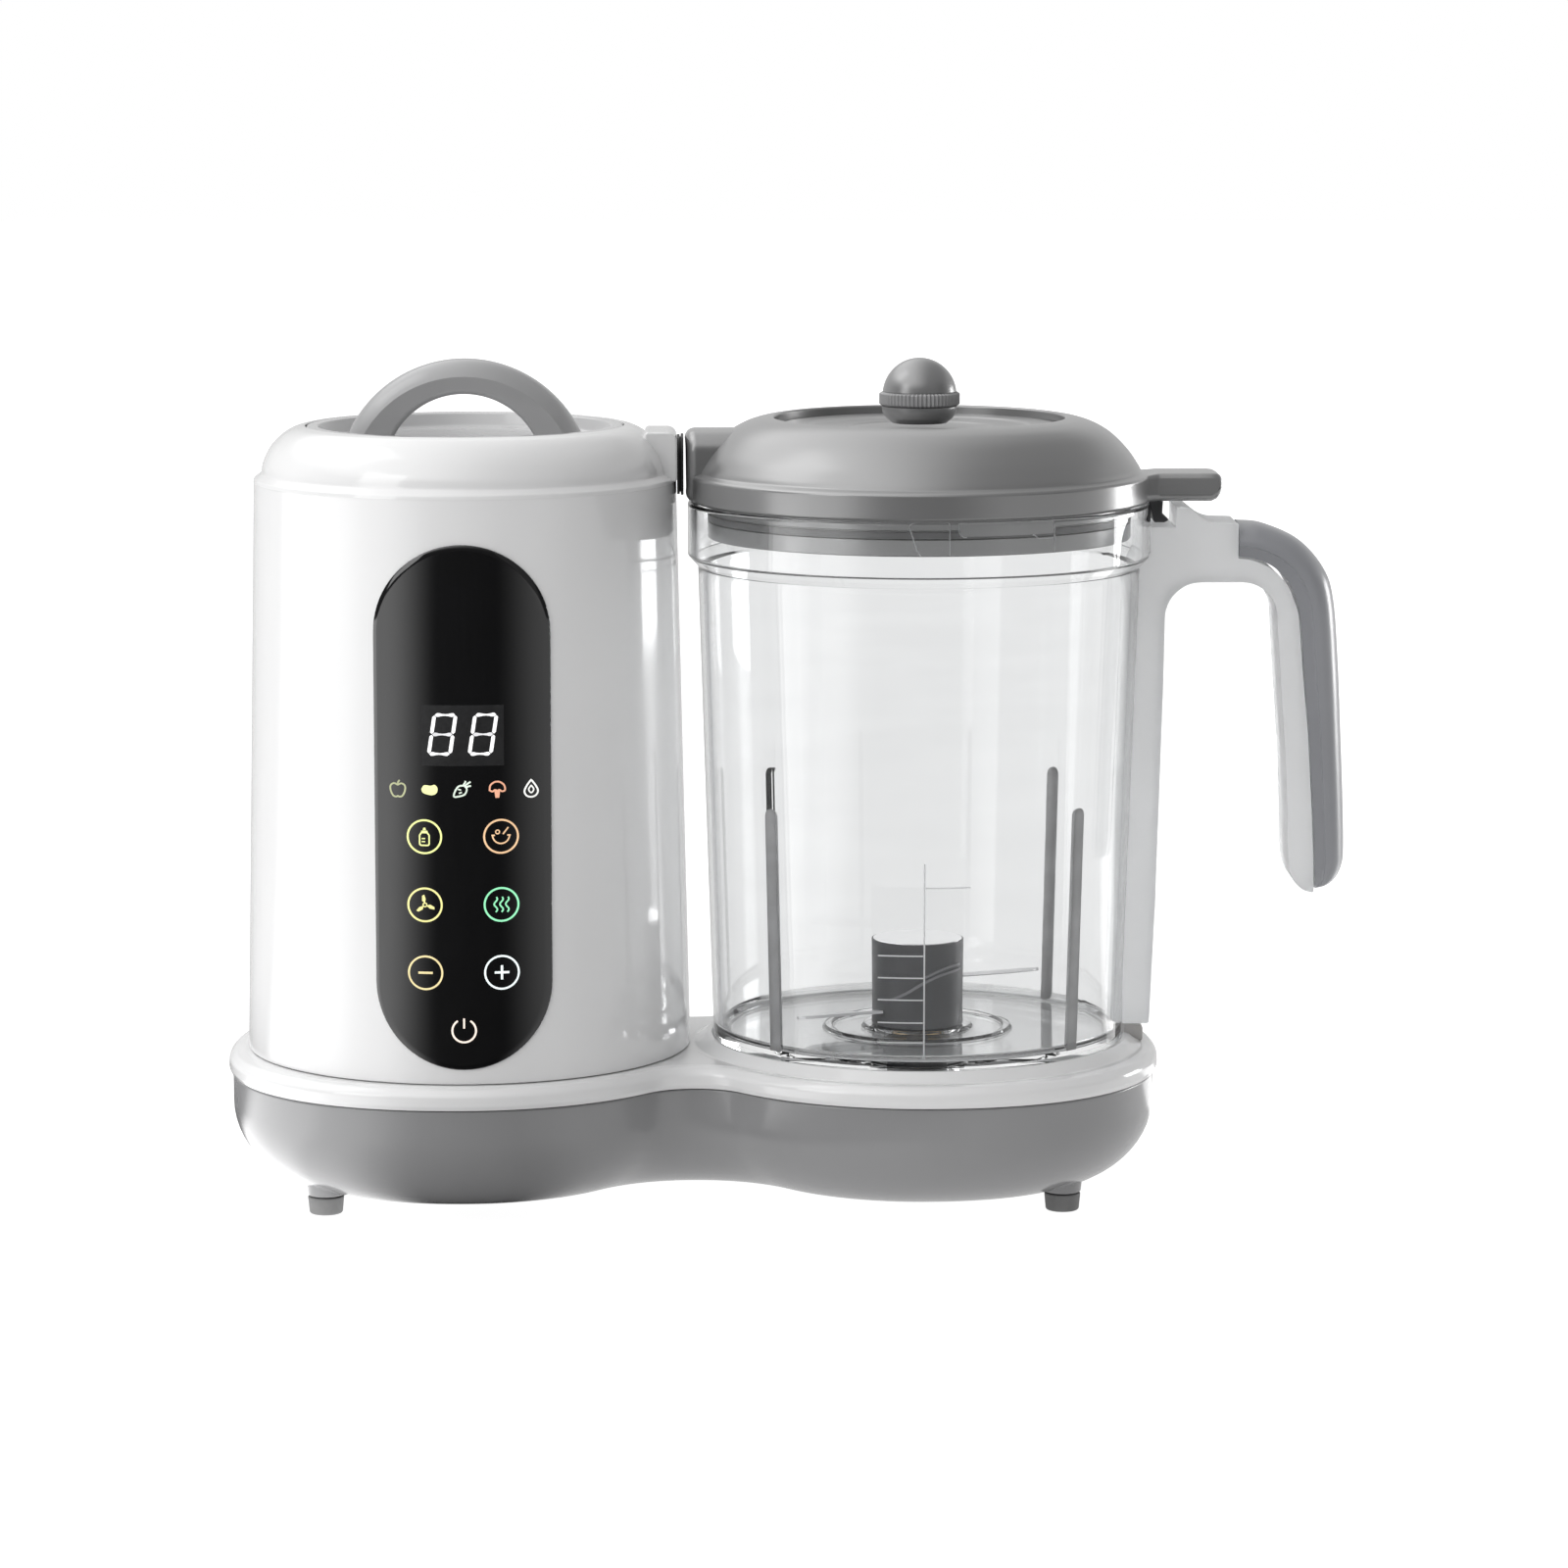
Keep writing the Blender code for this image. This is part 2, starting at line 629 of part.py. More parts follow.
def make_warmer_handle(parent):
    foot_z = DISH_Z + GAP
    outer = arc((0.0, 0.1950), 0.0350, 23.0, 157.0, 12)
    inner = arc((0.0, 0.1992), 0.0215, 152.0, 28.0, 8)
    outline = [(0.0322, foot_z)] + outer + [(-0.0322, foot_z), (-0.0194, foot_z)] + inner + [(0.0194, foot_z)]
    arch = upright_plate("warmer_handle", outline, (TOWER_X, 0.0, 0.0), 0.0078)
    add_bevel(arch, 0.0030, 2, 50.0)
    part(smooth(arch, 50.0), "warmer_handle", GREY, parent)


# Drive
def make_motor(parent):
    centre = (TOWER_X, 0.0, 0.0)
    low, high = MOTOR_Z
    can = [(0.0060, high), (MOTOR_R, high), (MOTOR_R, low), (MOTOR_R - 0.0015, low),
           (MOTOR_R - 0.0015, high - 0.0015), (0.0060, high - 0.0015)]
    part(turned("motor_can", can, centre, INNER_STEPS, closed=True), "motor_can", STEEL)
    cap = [(MOTOR_R, low - GAP), (MOTOR_R, low - 0.0025), (0.0030, low - 0.0025), (0.0030, low - GAP)]
    part(turned("motor_endcap", cap, centre, INNER_STEPS, closed=True), "motor_endcap", DARK_GREY)
    bracket = tube("motor_bracket", 0.0120, 0.0330, 0.0196, 0.0222, centre, INNER_STEPS)
    for index, angle in enumerate((60.0, 180.0, 300.0)):
        turn = math.radians(angle)
        spot = (TOWER_X + 0.0290 * math.cos(turn), 0.0290 * math.sin(turn), 0.0)
        boolean(bracket, rod(f"bracket_leg_{index}", 0.0030, 0.0076, 0.0210, spot, 8), "UNION")
    part(bracket, "motor_bracket", STEEL)

    armature = tube("motor_armature", SHAFT_R + GAP, 0.0165, 0.0320, 0.0700, centre, 16)
    part(armature, "motor_armature", BRASS, parent)
    part(rod("motor_shaft", SHAFT_R, 0.0090, 0.0820, centre, 12), "motor_shaft", STEEL, parent)
    part(pulley("motor_pulley", MOTOR_PULLEY_R, SHAFT_R + GAP, centre), "motor_pulley", DARK_GREY, parent)


def pulley(name, radius, bore, centre):
    """A flat-belt pulley with a low flange under the belt."""
    low, high = BELT_Z
    profile = [(radius, high + 0.0017), (radius, low - 0.0004), (radius + 0.0011, low - 0.0004),
               (radius + 0.0011, low - 0.0013), (bore, low - 0.0013), (bore, high + 0.0017)]
    return turned(name, profile, centre, 24, closed=True)


def belt_loop(extra):
    """A loop round both pulleys, tangent to them, at a distance from their rims."""
    small = MOTOR_PULLEY_R + extra
    large = DRIVEN_PULLEY_R + extra
    lean = math.degrees(math.asin((large - small) / (2 * HALF_SPACING)))
    around_motor = arc((TOWER_X, 0.0), small, 90.0 + lean, 270.0 - lean, 8)
    around_driven = arc((JUG_X, 0.0), large, -90.0 - lean, 90.0 + lean, 10)
    return around_motor + around_driven


def make_drive_belt():
    inside = belt_loop(GAP)
    outside = belt_loop(GAP + BELT_THICK)
    part(flat_plate("drive_belt", [outside, inside], *BELT_Z), "drive_belt", BLACK_RUBBER)


def star(outer, inner, teeth):
    """A star outline whose teeth carry the drive."""
    points = []
    for step in range(teeth * 4):
        reach = outer if step % 4 < 2 else inner
        turn = math.tau * (step - 0.5) / (teeth * 4)
        points.append((reach * math.cos(turn), reach * math.sin(turn)))
    return points


def make_driven_side(parent):
    centre = (JUG_X, 0.0, 0.0)
    part(pulley("driven_pulley", DRIVEN_PULLEY_R, SPINDLE_R + GAP, centre), "driven_pulley", DARK_GREY, parent)
    part(rod("drive_spindle", SPINDLE_R, 0.0088, 0.0470, centre, 12), "drive_spindle", STEEL, parent)
    coupler = flat_plate("drive_coupler", [star(COUPLER_R, COUPLER_R - 0.0016, COUPLER_TEETH)], 0.0420, 0.0520)
    coupler.location.x = JUG_X
    bore = rod("coupler_bore", SPINDLE_R + GAP, 0.0400, 0.0474, centre, 12)
    part(boolean(coupler, bore), "drive_coupler", DARK_GREY, parent)

    bearing = [(0.0125, 0.0377), (0.0125, 0.0350), (0.0080, 0.0350), (0.0080, 0.0210),
               (SPINDLE_R + GAP, 0.0210), (SPINDLE_R + GAP, 0.0377)]
    part(turned("spindle_bearing", bearing, centre, 16, closed=True), "spindle_bearing", BRASS)


# Supply and interlock
def make_power_board():
    low_z, high_z = BOARD_Z
    board = box("power_board", (JUG_X + 0.0210, -0.0220, low_z), (JUG_X + 0.0490, 0.0220, high_z))
    blocks = {"relay": ((0.0290, -0.0120), (0.0110, 0.0130, 0.0110)),
              "transformer": ((0.0360, 0.0100), (0.0160, 0.0140, 0.0130)),
              "capacitor": ((0.0430, -0.0120), (0.0070, 0.0100, 0.0090))}
    for name, ((x, y), (width, depth, height)) in blocks.items():
        low = (JUG_X + x - width / 2, y - depth / 2, high_z - 0.0006)
        high = (JUG_X + x + width / 2, y + depth / 2, high_z + height)
        boolean(board, box("board_" + name, low, high), "UNION")
    part(board, "power_board", BOARD_GREEN)


def make_interlock(parent):
    boss = box("interlock_boss", (JUG_X + 0.0571, -0.0045, PLATE_Z + GAP), (JUG_X + 0.0623, 0.0045, 0.0456),
               0.0009, 1)
    boolean(boss, rod("boss_bore", 0.0017, 0.0400, 0.0500, (INTERLOCK_X, 0.0, 0.0), 10))
    part(boss, "interlock_boss", BEIGE_GREY)
    switch = box("interlock_switch", (JUG_X + 0.0520, -0.0050, 0.0220), (JUG_X + 0.0605, 0.0050, 0.0300))
    part(switch, "interlock_switch", DARK_GREY)
    pin = [(0.0, 0.0470), (0.0014, 0.0470), (0.0014, 0.0377), (0.0026, 0.0377),
           (0.0026, 0.0368), (0.0010, 0.0368), (0.0010, 0.0326), (0.0, 0.0326)]
    part(turned("interlock_plunger", pin, (INTERLOCK_X, 0.0, 0.0), 8), "interlock_plunger", BEIGE_GREY, parent)
    part(spring("interlock_spring", 0.0019, 0.0003, 0.0305, 0.0364, 3, (INTERLOCK_X, 0.0)), "interlock_spring", STEEL)


def spring(name, radius, wire, low, high, turns, centre):
    """A coil spring with its wire's centre line between two heights."""
    curve = bpy.data.curves.new(name, "CURVE")
    curve.dimensions = "3D"
    curve.bevel_depth = wire
    curve.bevel_resolution = 0
    curve.use_fill_caps = True
    per_turn = 8
    spline = curve.splines.new("POLY")
    spline.points.add(turns * per_turn)
    for step, point in enumerate(spline.points):
        angle = math.tau * step / per_turn
        height = low + wire + (high - low - 2 * wire) * step / (turns * per_turn)
        point.co = (radius * math.cos(angle), radius * math.sin(angle), height, 1.0)
    obj = bpy.data.objects.new(name, curve)
    CUTTERS.objects.link(obj)
    obj.location = (centre[0], centre[1], 0.0)
    return smooth(baked(obj), 60.0)


# Jug
def jug_outside(z):
    """Outer radius of the jug's body at a height."""
    share = (z - 0.0445) / (0.1752 - 0.0445)
    return BODY_FOOT_R + (BODY_TOP_R - BODY_FOOT_R) * share


def make_jug(parent):
    centre = (JUG_X, 0.0, 0.0)
    rim_low, rim_high = RIM_Z
    rim_inner = RIM_R - JUG_WALL
    profile = [(RIM_R, rim_high), (RIM_R, rim_low), (BODY_TOP_R + 0.0006, 0.1774), (BODY_TOP_R, 0.1752),
               (BODY_FOOT_R, 0.0445), (0.0550, JUG_FOOT_Z), (0.0526, JUG_FOOT_Z), (0.0522, 0.0424),
               (TURRET_R - 0.0020, 0.0424), (TURRET_R - 0.0020, TURRET_TOP_Z - 0.0022),
               (0.0047, TURRET_TOP_Z - 0.0022), (0.0047, TURRET_TOP_Z), (TURRET_R, TURRET_TOP_Z),
               (TURRET_R, JUG_FLOOR_Z), (0.0528, JUG_FLOOR_Z), (jug_outside(0.0470) - JUG_WALL, 0.0468),
               (BODY_TOP_R - JUG_WALL, 0.1760), (rim_inner, 0.1795), (rim_inner, rim_high)]
    jug = turned("jug", profile, centre, closed=True)
    for index in range(4):
        turn = math.radians(45.0 + 90.0 * index)
        low_r = jug_outside(RIB_Z[0]) - JUG_WALL
        high_r = jug_outside(RIB_Z[1]) - JUG_WALL
        rib = rod(f"jug_rib_{index}", RIB_R, 0.0, RIB_Z[1] - RIB_Z[0], steps=6)
        lean = math.atan2(high_r - low_r, RIB_Z[1] - RIB_Z[0])
        rib.rotation_euler = (0.0, lean, turn)
        rib.location = (JUG_X + low_r * math.cos(turn), low_r * math.sin(turn), RIB_Z[0])
        boolean(jug, rib, "UNION")
    part(jug, "jug", CLEAR, parent)


def make_jug_handle(parent):
    """Frosted frame: the strip on the jug, the root and the inner side of the D."""
    centre = (JUG_X, 0.0, 0.0)
    outline = [(0.0500, 0.0473), (0.0634, 0.0473), (0.0648, 0.0800), (0.0664, 0.1400), (0.0668, 0.1560),
               (0.0682, 0.1635), (0.0718, 0.1676), (0.0770, 0.1694), (0.0880, 0.1694), (0.0935, 0.1676),
               (0.0972, 0.1635), (0.0984, 0.1560), (0.0994, 0.1440), (0.1013, 0.1190), (0.1017, 0.0940),
               (0.1022, 0.0885), (0.1044, 0.0848), (0.1078, 0.0838), (0.1084, 0.0880),
               (0.1075, 0.1070), (0.1062, 0.1276), (0.1046, 0.1440), (0.1032, 0.1610), (0.1002, 0.1687),
               (0.0960, 0.1732), (0.0909, 0.1755), (0.0865, 0.1760), (0.0865, 0.1855),
               (0.0820, 0.1858), (0.0770, 0.1868), (0.0737, 0.1893), (0.0725, 0.1899), (0.0694, 0.1899),
               (0.0694, 0.1846), (0.0500, 0.1846)]
    handle = upright_plate("jug_handle", outline, centre, HANDLE_HALF_DEPTH)
    envelope = [(0.0, 0.1950), (RIM_R + GAP, 0.1950), (RIM_R + GAP, RIM_Z[0] - GAP),
                (jug_outside(0.1752) + 0.0009, RIM_Z[0] - 0.0006), (jug_outside(0.1752) + GAP, 0.1748),
                (jug_outside(0.0400) + GAP, 0.0400), (0.0, 0.0400)]
    add_bevel(handle, 0.0007, 1, 60.0)
    boolean(handle, turned("jug_envelope", envelope, centre))
    part(smooth(handle, 50.0), "jug_handle", FROSTED, parent)

    grip = [(0.0869, 0.1764), (0.0911, 0.1759), (0.0962, 0.1736), (0.1006, 0.1690), (0.1036, 0.1610),
            (0.1050, 0.1440), (0.1066, 0.1276), (0.1079, 0.1070), (0.1086, 0.0920), (0.1088, 0.0850),
            (0.1105, 0.0840), (0.1140, 0.0846), (0.1166, 0.0880), (0.1175, 0.0940), (0.1172, 0.1100),
            (0.1163, 0.1320), (0.1152, 0.1500), (0.1138, 0.1640), (0.1118, 0.1705), (0.1090, 0.1750),
            (0.1048, 0.1795), (0.1000, 0.1826), (0.0950, 0.1844), (0.0869, 0.1856)]
    insert = upright_plate("handle_insert", grip, centre, HANDLE_HALF_DEPTH)
    add_bevel(insert, 0.0026, 2, 60.0)
    part(smooth(insert, 50.0), "handle_insert", SATIN_BLUE_GREY, parent)


def make_jug_bush(parent):
    low = TURRET_TOP_Z - 0.0022
    profile = [(0.0080, TURRET_TOP_Z + 0.0022), (0.0080, TURRET_TOP_Z + GAP), (0.0044, TURRET_TOP_Z + GAP),
               (0.0044, low - 0.0008), (0.0028, low - 0.0008), (0.0028, TURRET_TOP_Z + 0.0022)]
    part(turned("jug_bush", profile, (JUG_X, 0.0, 0.0), 16, closed=True), "jug_bush", BRASS, parent)


def make_blades(parent):
    centre = (JUG_X, 0.0, 0.0)
    low, high = HUB_Z
    inside = TURRET_R + 0.0005
    hub = [(0.0, high), (HUB_R, high), (HUB_R, low), (inside, low),
           (inside, 0.0630), (BLADE_SHAFT_R + GAP, 0.0630), (BLADE_SHAFT_R + GAP, 0.0663), (0.0, 0.0663)]
    part(turned("blade_hub", hub, centre, 28), "blade_hub", DARK_GREY, parent)
    part(rod("blade_shaft", BLADE_SHAFT_R, 0.0532, 0.0660, centre, 12), "blade_shaft", STEEL, parent)

    socket = rod("jug_coupler", 0.0083, 0.0430, 0.0568, centre, 20)
    recess = flat_plate("coupler_recess", [star(COUPLER_R + 0.0004, COUPLER_R - 0.0012, COUPLER_TEETH)],
                        0.0400, 0.0524)
    recess.location.x = JUG_X
    boolean(socket, recess)
    boolean(socket, rod("coupler_shaft_bore", BLADE_SHAFT_R + GAP, 0.0500, 0.0600, centre, 12))
    part(socket, "jug_coupler", DARK_GREY, parent)

    blade_shapes = {"blade_lower": (0.0495, 0.0370, -1.0), "blade_upper": (0.0580, 0.0386, 1.0)}
    for name, (z, reach, side) in blade_shapes.items():
        blade_outline = [(side * (HUB_R + GAP), -0.0042), (side * reach * 0.8, -0.0040), (side * reach, 0.0010),
                         (side * reach * 0.95, 0.0042), (side * (HUB_R + GAP), 0.0048)]
        blade = flat_plate(name, [blade_outline], -BLADE_THICK / 2.0, BLADE_THICK / 2.0)
        blade.location.z = z
        blade.location.x = JUG_X
        blade.location.z += BLADE_THICK / 2.0
        blade.rotation_euler = (BLADE_PITCH, 0.0, BLADE_TURN)
        part(blade, name, STEEL, parent)


# Lid
def make_lid(gasket_parent, lid_parent):
    centre = (JUG_X, 0.0, 0.0)
    low, high = FLANGE_Z
    profile = [(LID_RIM_R, LID_TOP_Z), (0.0462, 0.2129), (0.0515, 0.2105), (0.0562, 0.2057), (0.0595, 0.1998),
               (FLANGE_R, high), (FLANGE_R, low), (0.0572, low), (0.0572, 0.1990), (0.0532, 0.2055),
               (0.0480, 0.2098), (0.0412, 0.2117), (0.0412, 0.2078), (0.0302, 0.2078), (0.0302, 0.2098),
               (0.0392, 0.2098), (0.0392, 0.2140)]
    lid = turned("lid_shell", profile, centre, closed=True)
    duct = box("lid_duct", (JUG_X - 0.0660, -DUCT_HALF_WIDTH, low), (JUG_X - 0.0500, DUCT_HALF_WIDTH, DUCT_TOP_Z),
               0.0030, 1)
    reach = rod("duct_reach", DUCT_REACH, 0.1800, 0.2200, centre, 144)
    boolean(duct, reach, "INTERSECT")
    boolean(lid, baked(duct), "UNION")
    boolean(lid, cross_bore("duct_bore", 0.0040, JUG_X - 0.0680, 0.0200, PORT_Z))
    tab = box("lid_tab", (JUG_X + 0.0580, -0.0100, 0.1913), (JUG_X + TAB_REACH, 0.0100, 0.1994), 0.0030, 1)
    boolean(lid, tab, "UNION")
    part(smooth(lid), "lid_shell", GREY, lid_parent)

    hook = box("lid_hook", (JUG_X + 0.0641, -0.0050, 0.1852), (JUG_X + 0.0676, 0.0050, 0.1910), 0.0006, 1)
    part(hook, "lid_hook", DARK_GREY, lid_parent)
    skirt = [(SKIRT_R - 0.0012, SKIRT_Z[1]), (SKIRT_R - 0.0012, 0.1860), (SKIRT_R, 0.1860),
             (SKIRT_R, SKIRT_Z[0]), (SKIRT_R - 0.0022, SKIRT_Z[0]), (SKIRT_R - 0.0022, SKIRT_Z[1])]
    part(turned("lid_skirt", skirt, centre, closed=True), "lid_skirt", GREY, lid_parent)
    ring = tube("lid_gasket", SKIRT_R - 0.0009, 0.0606, 0.1864, 0.1881, centre, ROUND_STEPS)
    part(ring, "lid_gasket", SILICONE, gasket_parent)


def make_feed_cap(parent):
    profile = [(0.0, 0.2120), (0.0384, 0.2115), (0.0388, 0.2101), (0.0299, 0.2101), (0.0299, 0.2050),
               (0.0279, 0.2050), (0.0279, 0.2094), (0.0, 0.2094)]
    part(turned("feed_cap", profile, (JUG_X, 0.0, 0.0)), "feed_cap", GREY, parent)


def make_knob(parent):
    centre = (JUG_X, 0.0, 0.0)
    ring_low, ring_high = 0.2170, 0.2208

    def ball(z):
        return math.sqrt(max(KNOB_BALL_R ** 2 - (z - KNOB_BALL_Z) ** 2, 0.0))

    cap_low = ring_high + GAP
    cap = []
    for step in range(6):
        z = KNOB_BALL_Z + KNOB_BALL_R - (KNOB_BALL_Z + KNOB_BALL_R - cap_low) * (step / 5) ** 1.6
        cap.append((ball(z) if step else 0.0, z))
    cap += [(0.0046, cap_low), (0.0046, 0.2262), (0.0, 0.2262)]
    part(turned("knob_cap", cap, centre, INNER_STEPS), "knob_cap", GREY, parent)

    stem_top = ring_low - GAP
    stem = [(0.0, 0.2256), (0.0043, 0.2256), (0.0043, stem_top), (0.0103, stem_top), (0.0099, 0.2150),
            (0.0088, 0.2136), (0.0070, KNOB_BOTTOM_Z), (0.0, KNOB_BOTTOM_Z)]
    part(turned("knob_stem", stem, centre, INNER_STEPS), "knob_stem", GREY, parent)

    ring = tube("knob_ring", 0.0046, 0.0110, ring_low, ring_high, centre, 24)
    part(ring, "knob_ring", GREY, parent)


def make_baby_food_maker():
    jug_joint = joint_empty("jug_joint", (JUG_X, 0.0, 0.0))
    lid_lift_joint = joint_empty("lid_lift_joint", (JUG_X, 0.0, 0.0))
    lid_turn_joint = joint_empty("lid_turn_joint", (JUG_X, 0.0, 0.0))
    cap_joint = joint_empty("cap_joint", (JUG_X, 0.0, 0.0))
    knob_joint = joint_empty("knob_joint", (JUG_X, 0.0, 0.0))
    blade_joint = joint_empty("blade_joint", (JUG_X, 0.0, 0.0))
    drive_joint = joint_empty("drive_joint", (JUG_X, 0.0, 0.0))
    motor_joint = joint_empty("motor_joint", (TOWER_X, 0.0, 0.0))
    warmer_joint = joint_empty("warmer_joint", (TOWER_X, 0.0, 0.0))
    plunger_joint = joint_empty("plunger_joint", (INTERLOCK_X, 0.0, 0.0))

    make_base_lower_shell()
    make_base_top_plate()
    make_feet()
    make_base_screws()
    make_cord_gland()
    make_tower_shell()
    make_control_panel()
    make_panel_electronics()
    make_tower_shoulder()
    make_steam_seal()
    make_steam_pipe()
    make_warming_well()
    make_heater_plate()
    make_warmer_lid(warmer_joint)
    make_warmer_handle(warmer_joint)
    make_motor(motor_joint)
    make_drive_belt()
    make_driven_side(drive_joint)
    make_power_board()
    make_interlock(plunger_joint)
    make_jug(jug_joint)
    make_jug_handle(jug_joint)
    make_jug_bush(jug_joint)
    make_blades(blade_joint)
    make_lid(lid_lift_joint, lid_turn_joint)
    make_feed_cap(cap_joint)
    make_knob(knob_joint)


make_baby_food_maker()
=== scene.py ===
"""Looks of the baby food maker: fine surfaces, materials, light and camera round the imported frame.

Lengths in outlines are millimetres; heights are above the surface that the object stands on,
and radii are from the tower's or the jug's axis.
"""
import json
from math import asin, atan2, ceil, cos, degrees, pi, radians, sin, sqrt, tan, tau

import bmesh
import bpy
from mathutils import Matrix, Vector


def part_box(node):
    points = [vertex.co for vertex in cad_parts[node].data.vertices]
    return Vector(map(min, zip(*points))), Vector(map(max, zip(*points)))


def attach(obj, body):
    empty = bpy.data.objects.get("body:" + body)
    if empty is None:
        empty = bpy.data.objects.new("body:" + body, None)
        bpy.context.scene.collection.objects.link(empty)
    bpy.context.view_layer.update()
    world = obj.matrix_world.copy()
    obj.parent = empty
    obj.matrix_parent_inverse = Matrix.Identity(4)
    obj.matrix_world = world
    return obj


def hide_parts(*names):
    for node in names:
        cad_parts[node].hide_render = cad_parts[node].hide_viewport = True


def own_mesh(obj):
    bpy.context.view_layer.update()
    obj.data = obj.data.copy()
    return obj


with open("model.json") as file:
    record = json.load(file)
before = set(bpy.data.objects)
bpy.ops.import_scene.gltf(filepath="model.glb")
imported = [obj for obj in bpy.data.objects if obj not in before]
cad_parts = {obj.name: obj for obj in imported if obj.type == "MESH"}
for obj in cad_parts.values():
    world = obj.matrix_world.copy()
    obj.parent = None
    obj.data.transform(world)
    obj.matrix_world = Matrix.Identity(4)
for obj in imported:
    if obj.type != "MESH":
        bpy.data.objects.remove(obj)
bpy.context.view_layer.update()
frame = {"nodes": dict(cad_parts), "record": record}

MM = 0.001


def corners_of(node):
    """The lowest and highest corner of a CAD node, in millimetres."""
    return [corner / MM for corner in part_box(node)]


def middle_x(node):
    low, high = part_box(node)
    return (low.x + high.x) / 2 / MM


def heights(node):
    return [corner.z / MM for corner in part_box(node)]


def low_z(node):
    return heights(node)[0]


def high_z(node):
    return heights(node)[1]


TOWER_X = middle_x("warming_well")
JUG_X = middle_x("driven_pulley")
PLATE_Z = 41
SEAT_RIM_Z = high_z("base_top_plate")
PARTING_Z = high_z("base_lower_shell") + 0.15
TOWER_TOP_Z = high_z("tower_shell")
TOWER_FOOT_R = (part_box("tower_shell")[1].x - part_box("tower_shell")[0].x) / 2 / MM
TOWER_TOP_R = 57.5
RIM_TOP_Z = high_z("jug")
JUG_FOOT_Z = low_z("jug")
FLANGE_LOW_Z = RIM_TOP_Z + 0.3
LID_TOP_Z = high_z("lid_shell")
DISH_Z = low_z("warmer_handle") - 0.3

TOWER = (TOWER_X, 0)
JUG = (JUG_X, 0)
PLUNGER = (middle_x("interlock_plunger"), 0)


# Mesh helpers
def fillet(points, closed=True, step=12):
    """Round the corners of an outline; a point is (x, y) or (x, y, corner radius)."""
    result = []
    count = len(points)
    for index, point in enumerate(points):
        corner = Vector(point[:2])
        radius = point[2] if len(point) > 2 else 0
        if radius <= 0 or (not closed and index in (0, count - 1)):
            result.append(corner)
            continue
        before = Vector(points[index - 1][:2]) - corner
        after = Vector(points[(index + 1) % count][:2]) - corner
        turn = pi - before.angle(after)
        if turn < 0.01:
            result.append(corner)
            continue
        reach = min(radius * tan(turn / 2), 0.49 * before.length, 0.49 * after.length)
        radius = reach / tan(turn / 2)
        before.normalize()
        after.normalize()
        centre = corner + (before + after).normalized() * (radius / cos(turn / 2))
        ray = corner + before * reach - centre
        end = corner + after * reach - centre
        sign = 1 if ray.x * end.y - ray.y * end.x > 0 else -1
        steps = max(2, ceil(degrees(turn) / step))
        for number in range(steps + 1):
            result.append(centre + Matrix.Rotation(sign * turn * number / steps, 2) @ ray)
    return [(point.x, point.y) for point in result]


def spline(points, steps=6):
    """A smooth line through points (Catmull-Rom), ends included; works in 2-D and 3-D."""
    points = [Vector(point) for point in points]
    padded = [2 * points[0] - points[1]] + points + [2 * points[-1] - points[-2]]
    result = []
    for index in range(len(points) - 1):
        a, b, c, d = padded[index:index + 4]
        for number in range(steps):
            t = number / steps
            result.append(0.5 * (2 * b + (c - a) * t + (2 * a - 5 * b + 4 * c - d) * t ** 2
                                 + (3 * b - a - 3 * c + d) * t ** 3))
    result.append(points[-1])
    return [tuple(point) for point in result]


def arc(centre, radius, start, end, steps):
    """Points on an arc, angles in degrees, both ends included."""
    points = []
    for number in range(steps + 1):
        angle = radians(start + (end - start) * number / steps)
        points.append((centre[0] + radius * cos(angle), centre[1] + radius * sin(angle)))
    return points


def new_object(name, work, sharp=38):
    """A finished mesh object from a bmesh in millimetres, faces pointing out, smooth with sharp edges."""
    bmesh.ops.remove_doubles(work, verts=work.verts, dist=0.0005)
    bmesh.ops.recalc_face_normals(work, faces=work.faces)
    bmesh.ops.scale(work, vec=(MM, MM, MM), verts=work.verts)
    mesh = bpy.data.meshes.new(name)
    work.to_mesh(mesh)
    work.free()
    mesh.shade_smooth()
    mesh.set_sharp_from_angle(angle=radians(sharp))
    obj = bpy.data.objects.new(name, mesh)
    bpy.context.scene.collection.objects.link(obj)
    return obj


def bridge(work, one, two, closed=True):
    """Quads between two rows of vertices; a row of one vertex makes a fan."""
    count = max(len(one), len(two))
    for index in range(count if closed else count - 1):
        after = (index + 1) % count
        corners = []
        for row, number in ((one, index), (one, after), (two, after), (two, index)):
            vert = row[number % len(row)]
            if vert not in corners:
                corners.append(vert)
        if len(corners) > 2:
            work.faces.new(corners)


def lathe(name, profile, centre, steps=144, shape=None, turns=None):
    """Turn a closed outline of (radius, z) about a vertical axis; shape(radius, z, turn) may move a point."""
    work = bmesh.new()
    turns = turns or [tau * number / steps for number in range(steps)]
    rings = []
    for radius, z in fillet(profile):
        if radius < 0.001:
            rings.append([work.verts.new((centre[0], centre[1], z))])
            continue
        ring = []
        for turn in turns:
            reach = shape(radius, z, turn) if shape else radius
            ring.append(work.verts.new((centre[0] + reach * cos(turn), centre[1] + reach * sin(turn), z)))
        rings.append(ring)
    for one, two in zip(rings, rings[1:] + rings[:1]):
        if len(one) > 1 or len(two) > 1:
            bridge(work, one, two)
    return new_object(name, work)


def loft(name, rings, sharp=38):
    """A closed solid through rings of 3-D points, capped at both ends."""
    work = bmesh.new()
    loops = [[work.verts.new(point) for point in ring] for ring in rings]
    for one, two in zip(loops, loops[1:]):
        bridge(work, one, two)
    work.faces.new(loops[0])
    work.faces.new(loops[-1])
    return new_object(name, work, sharp)


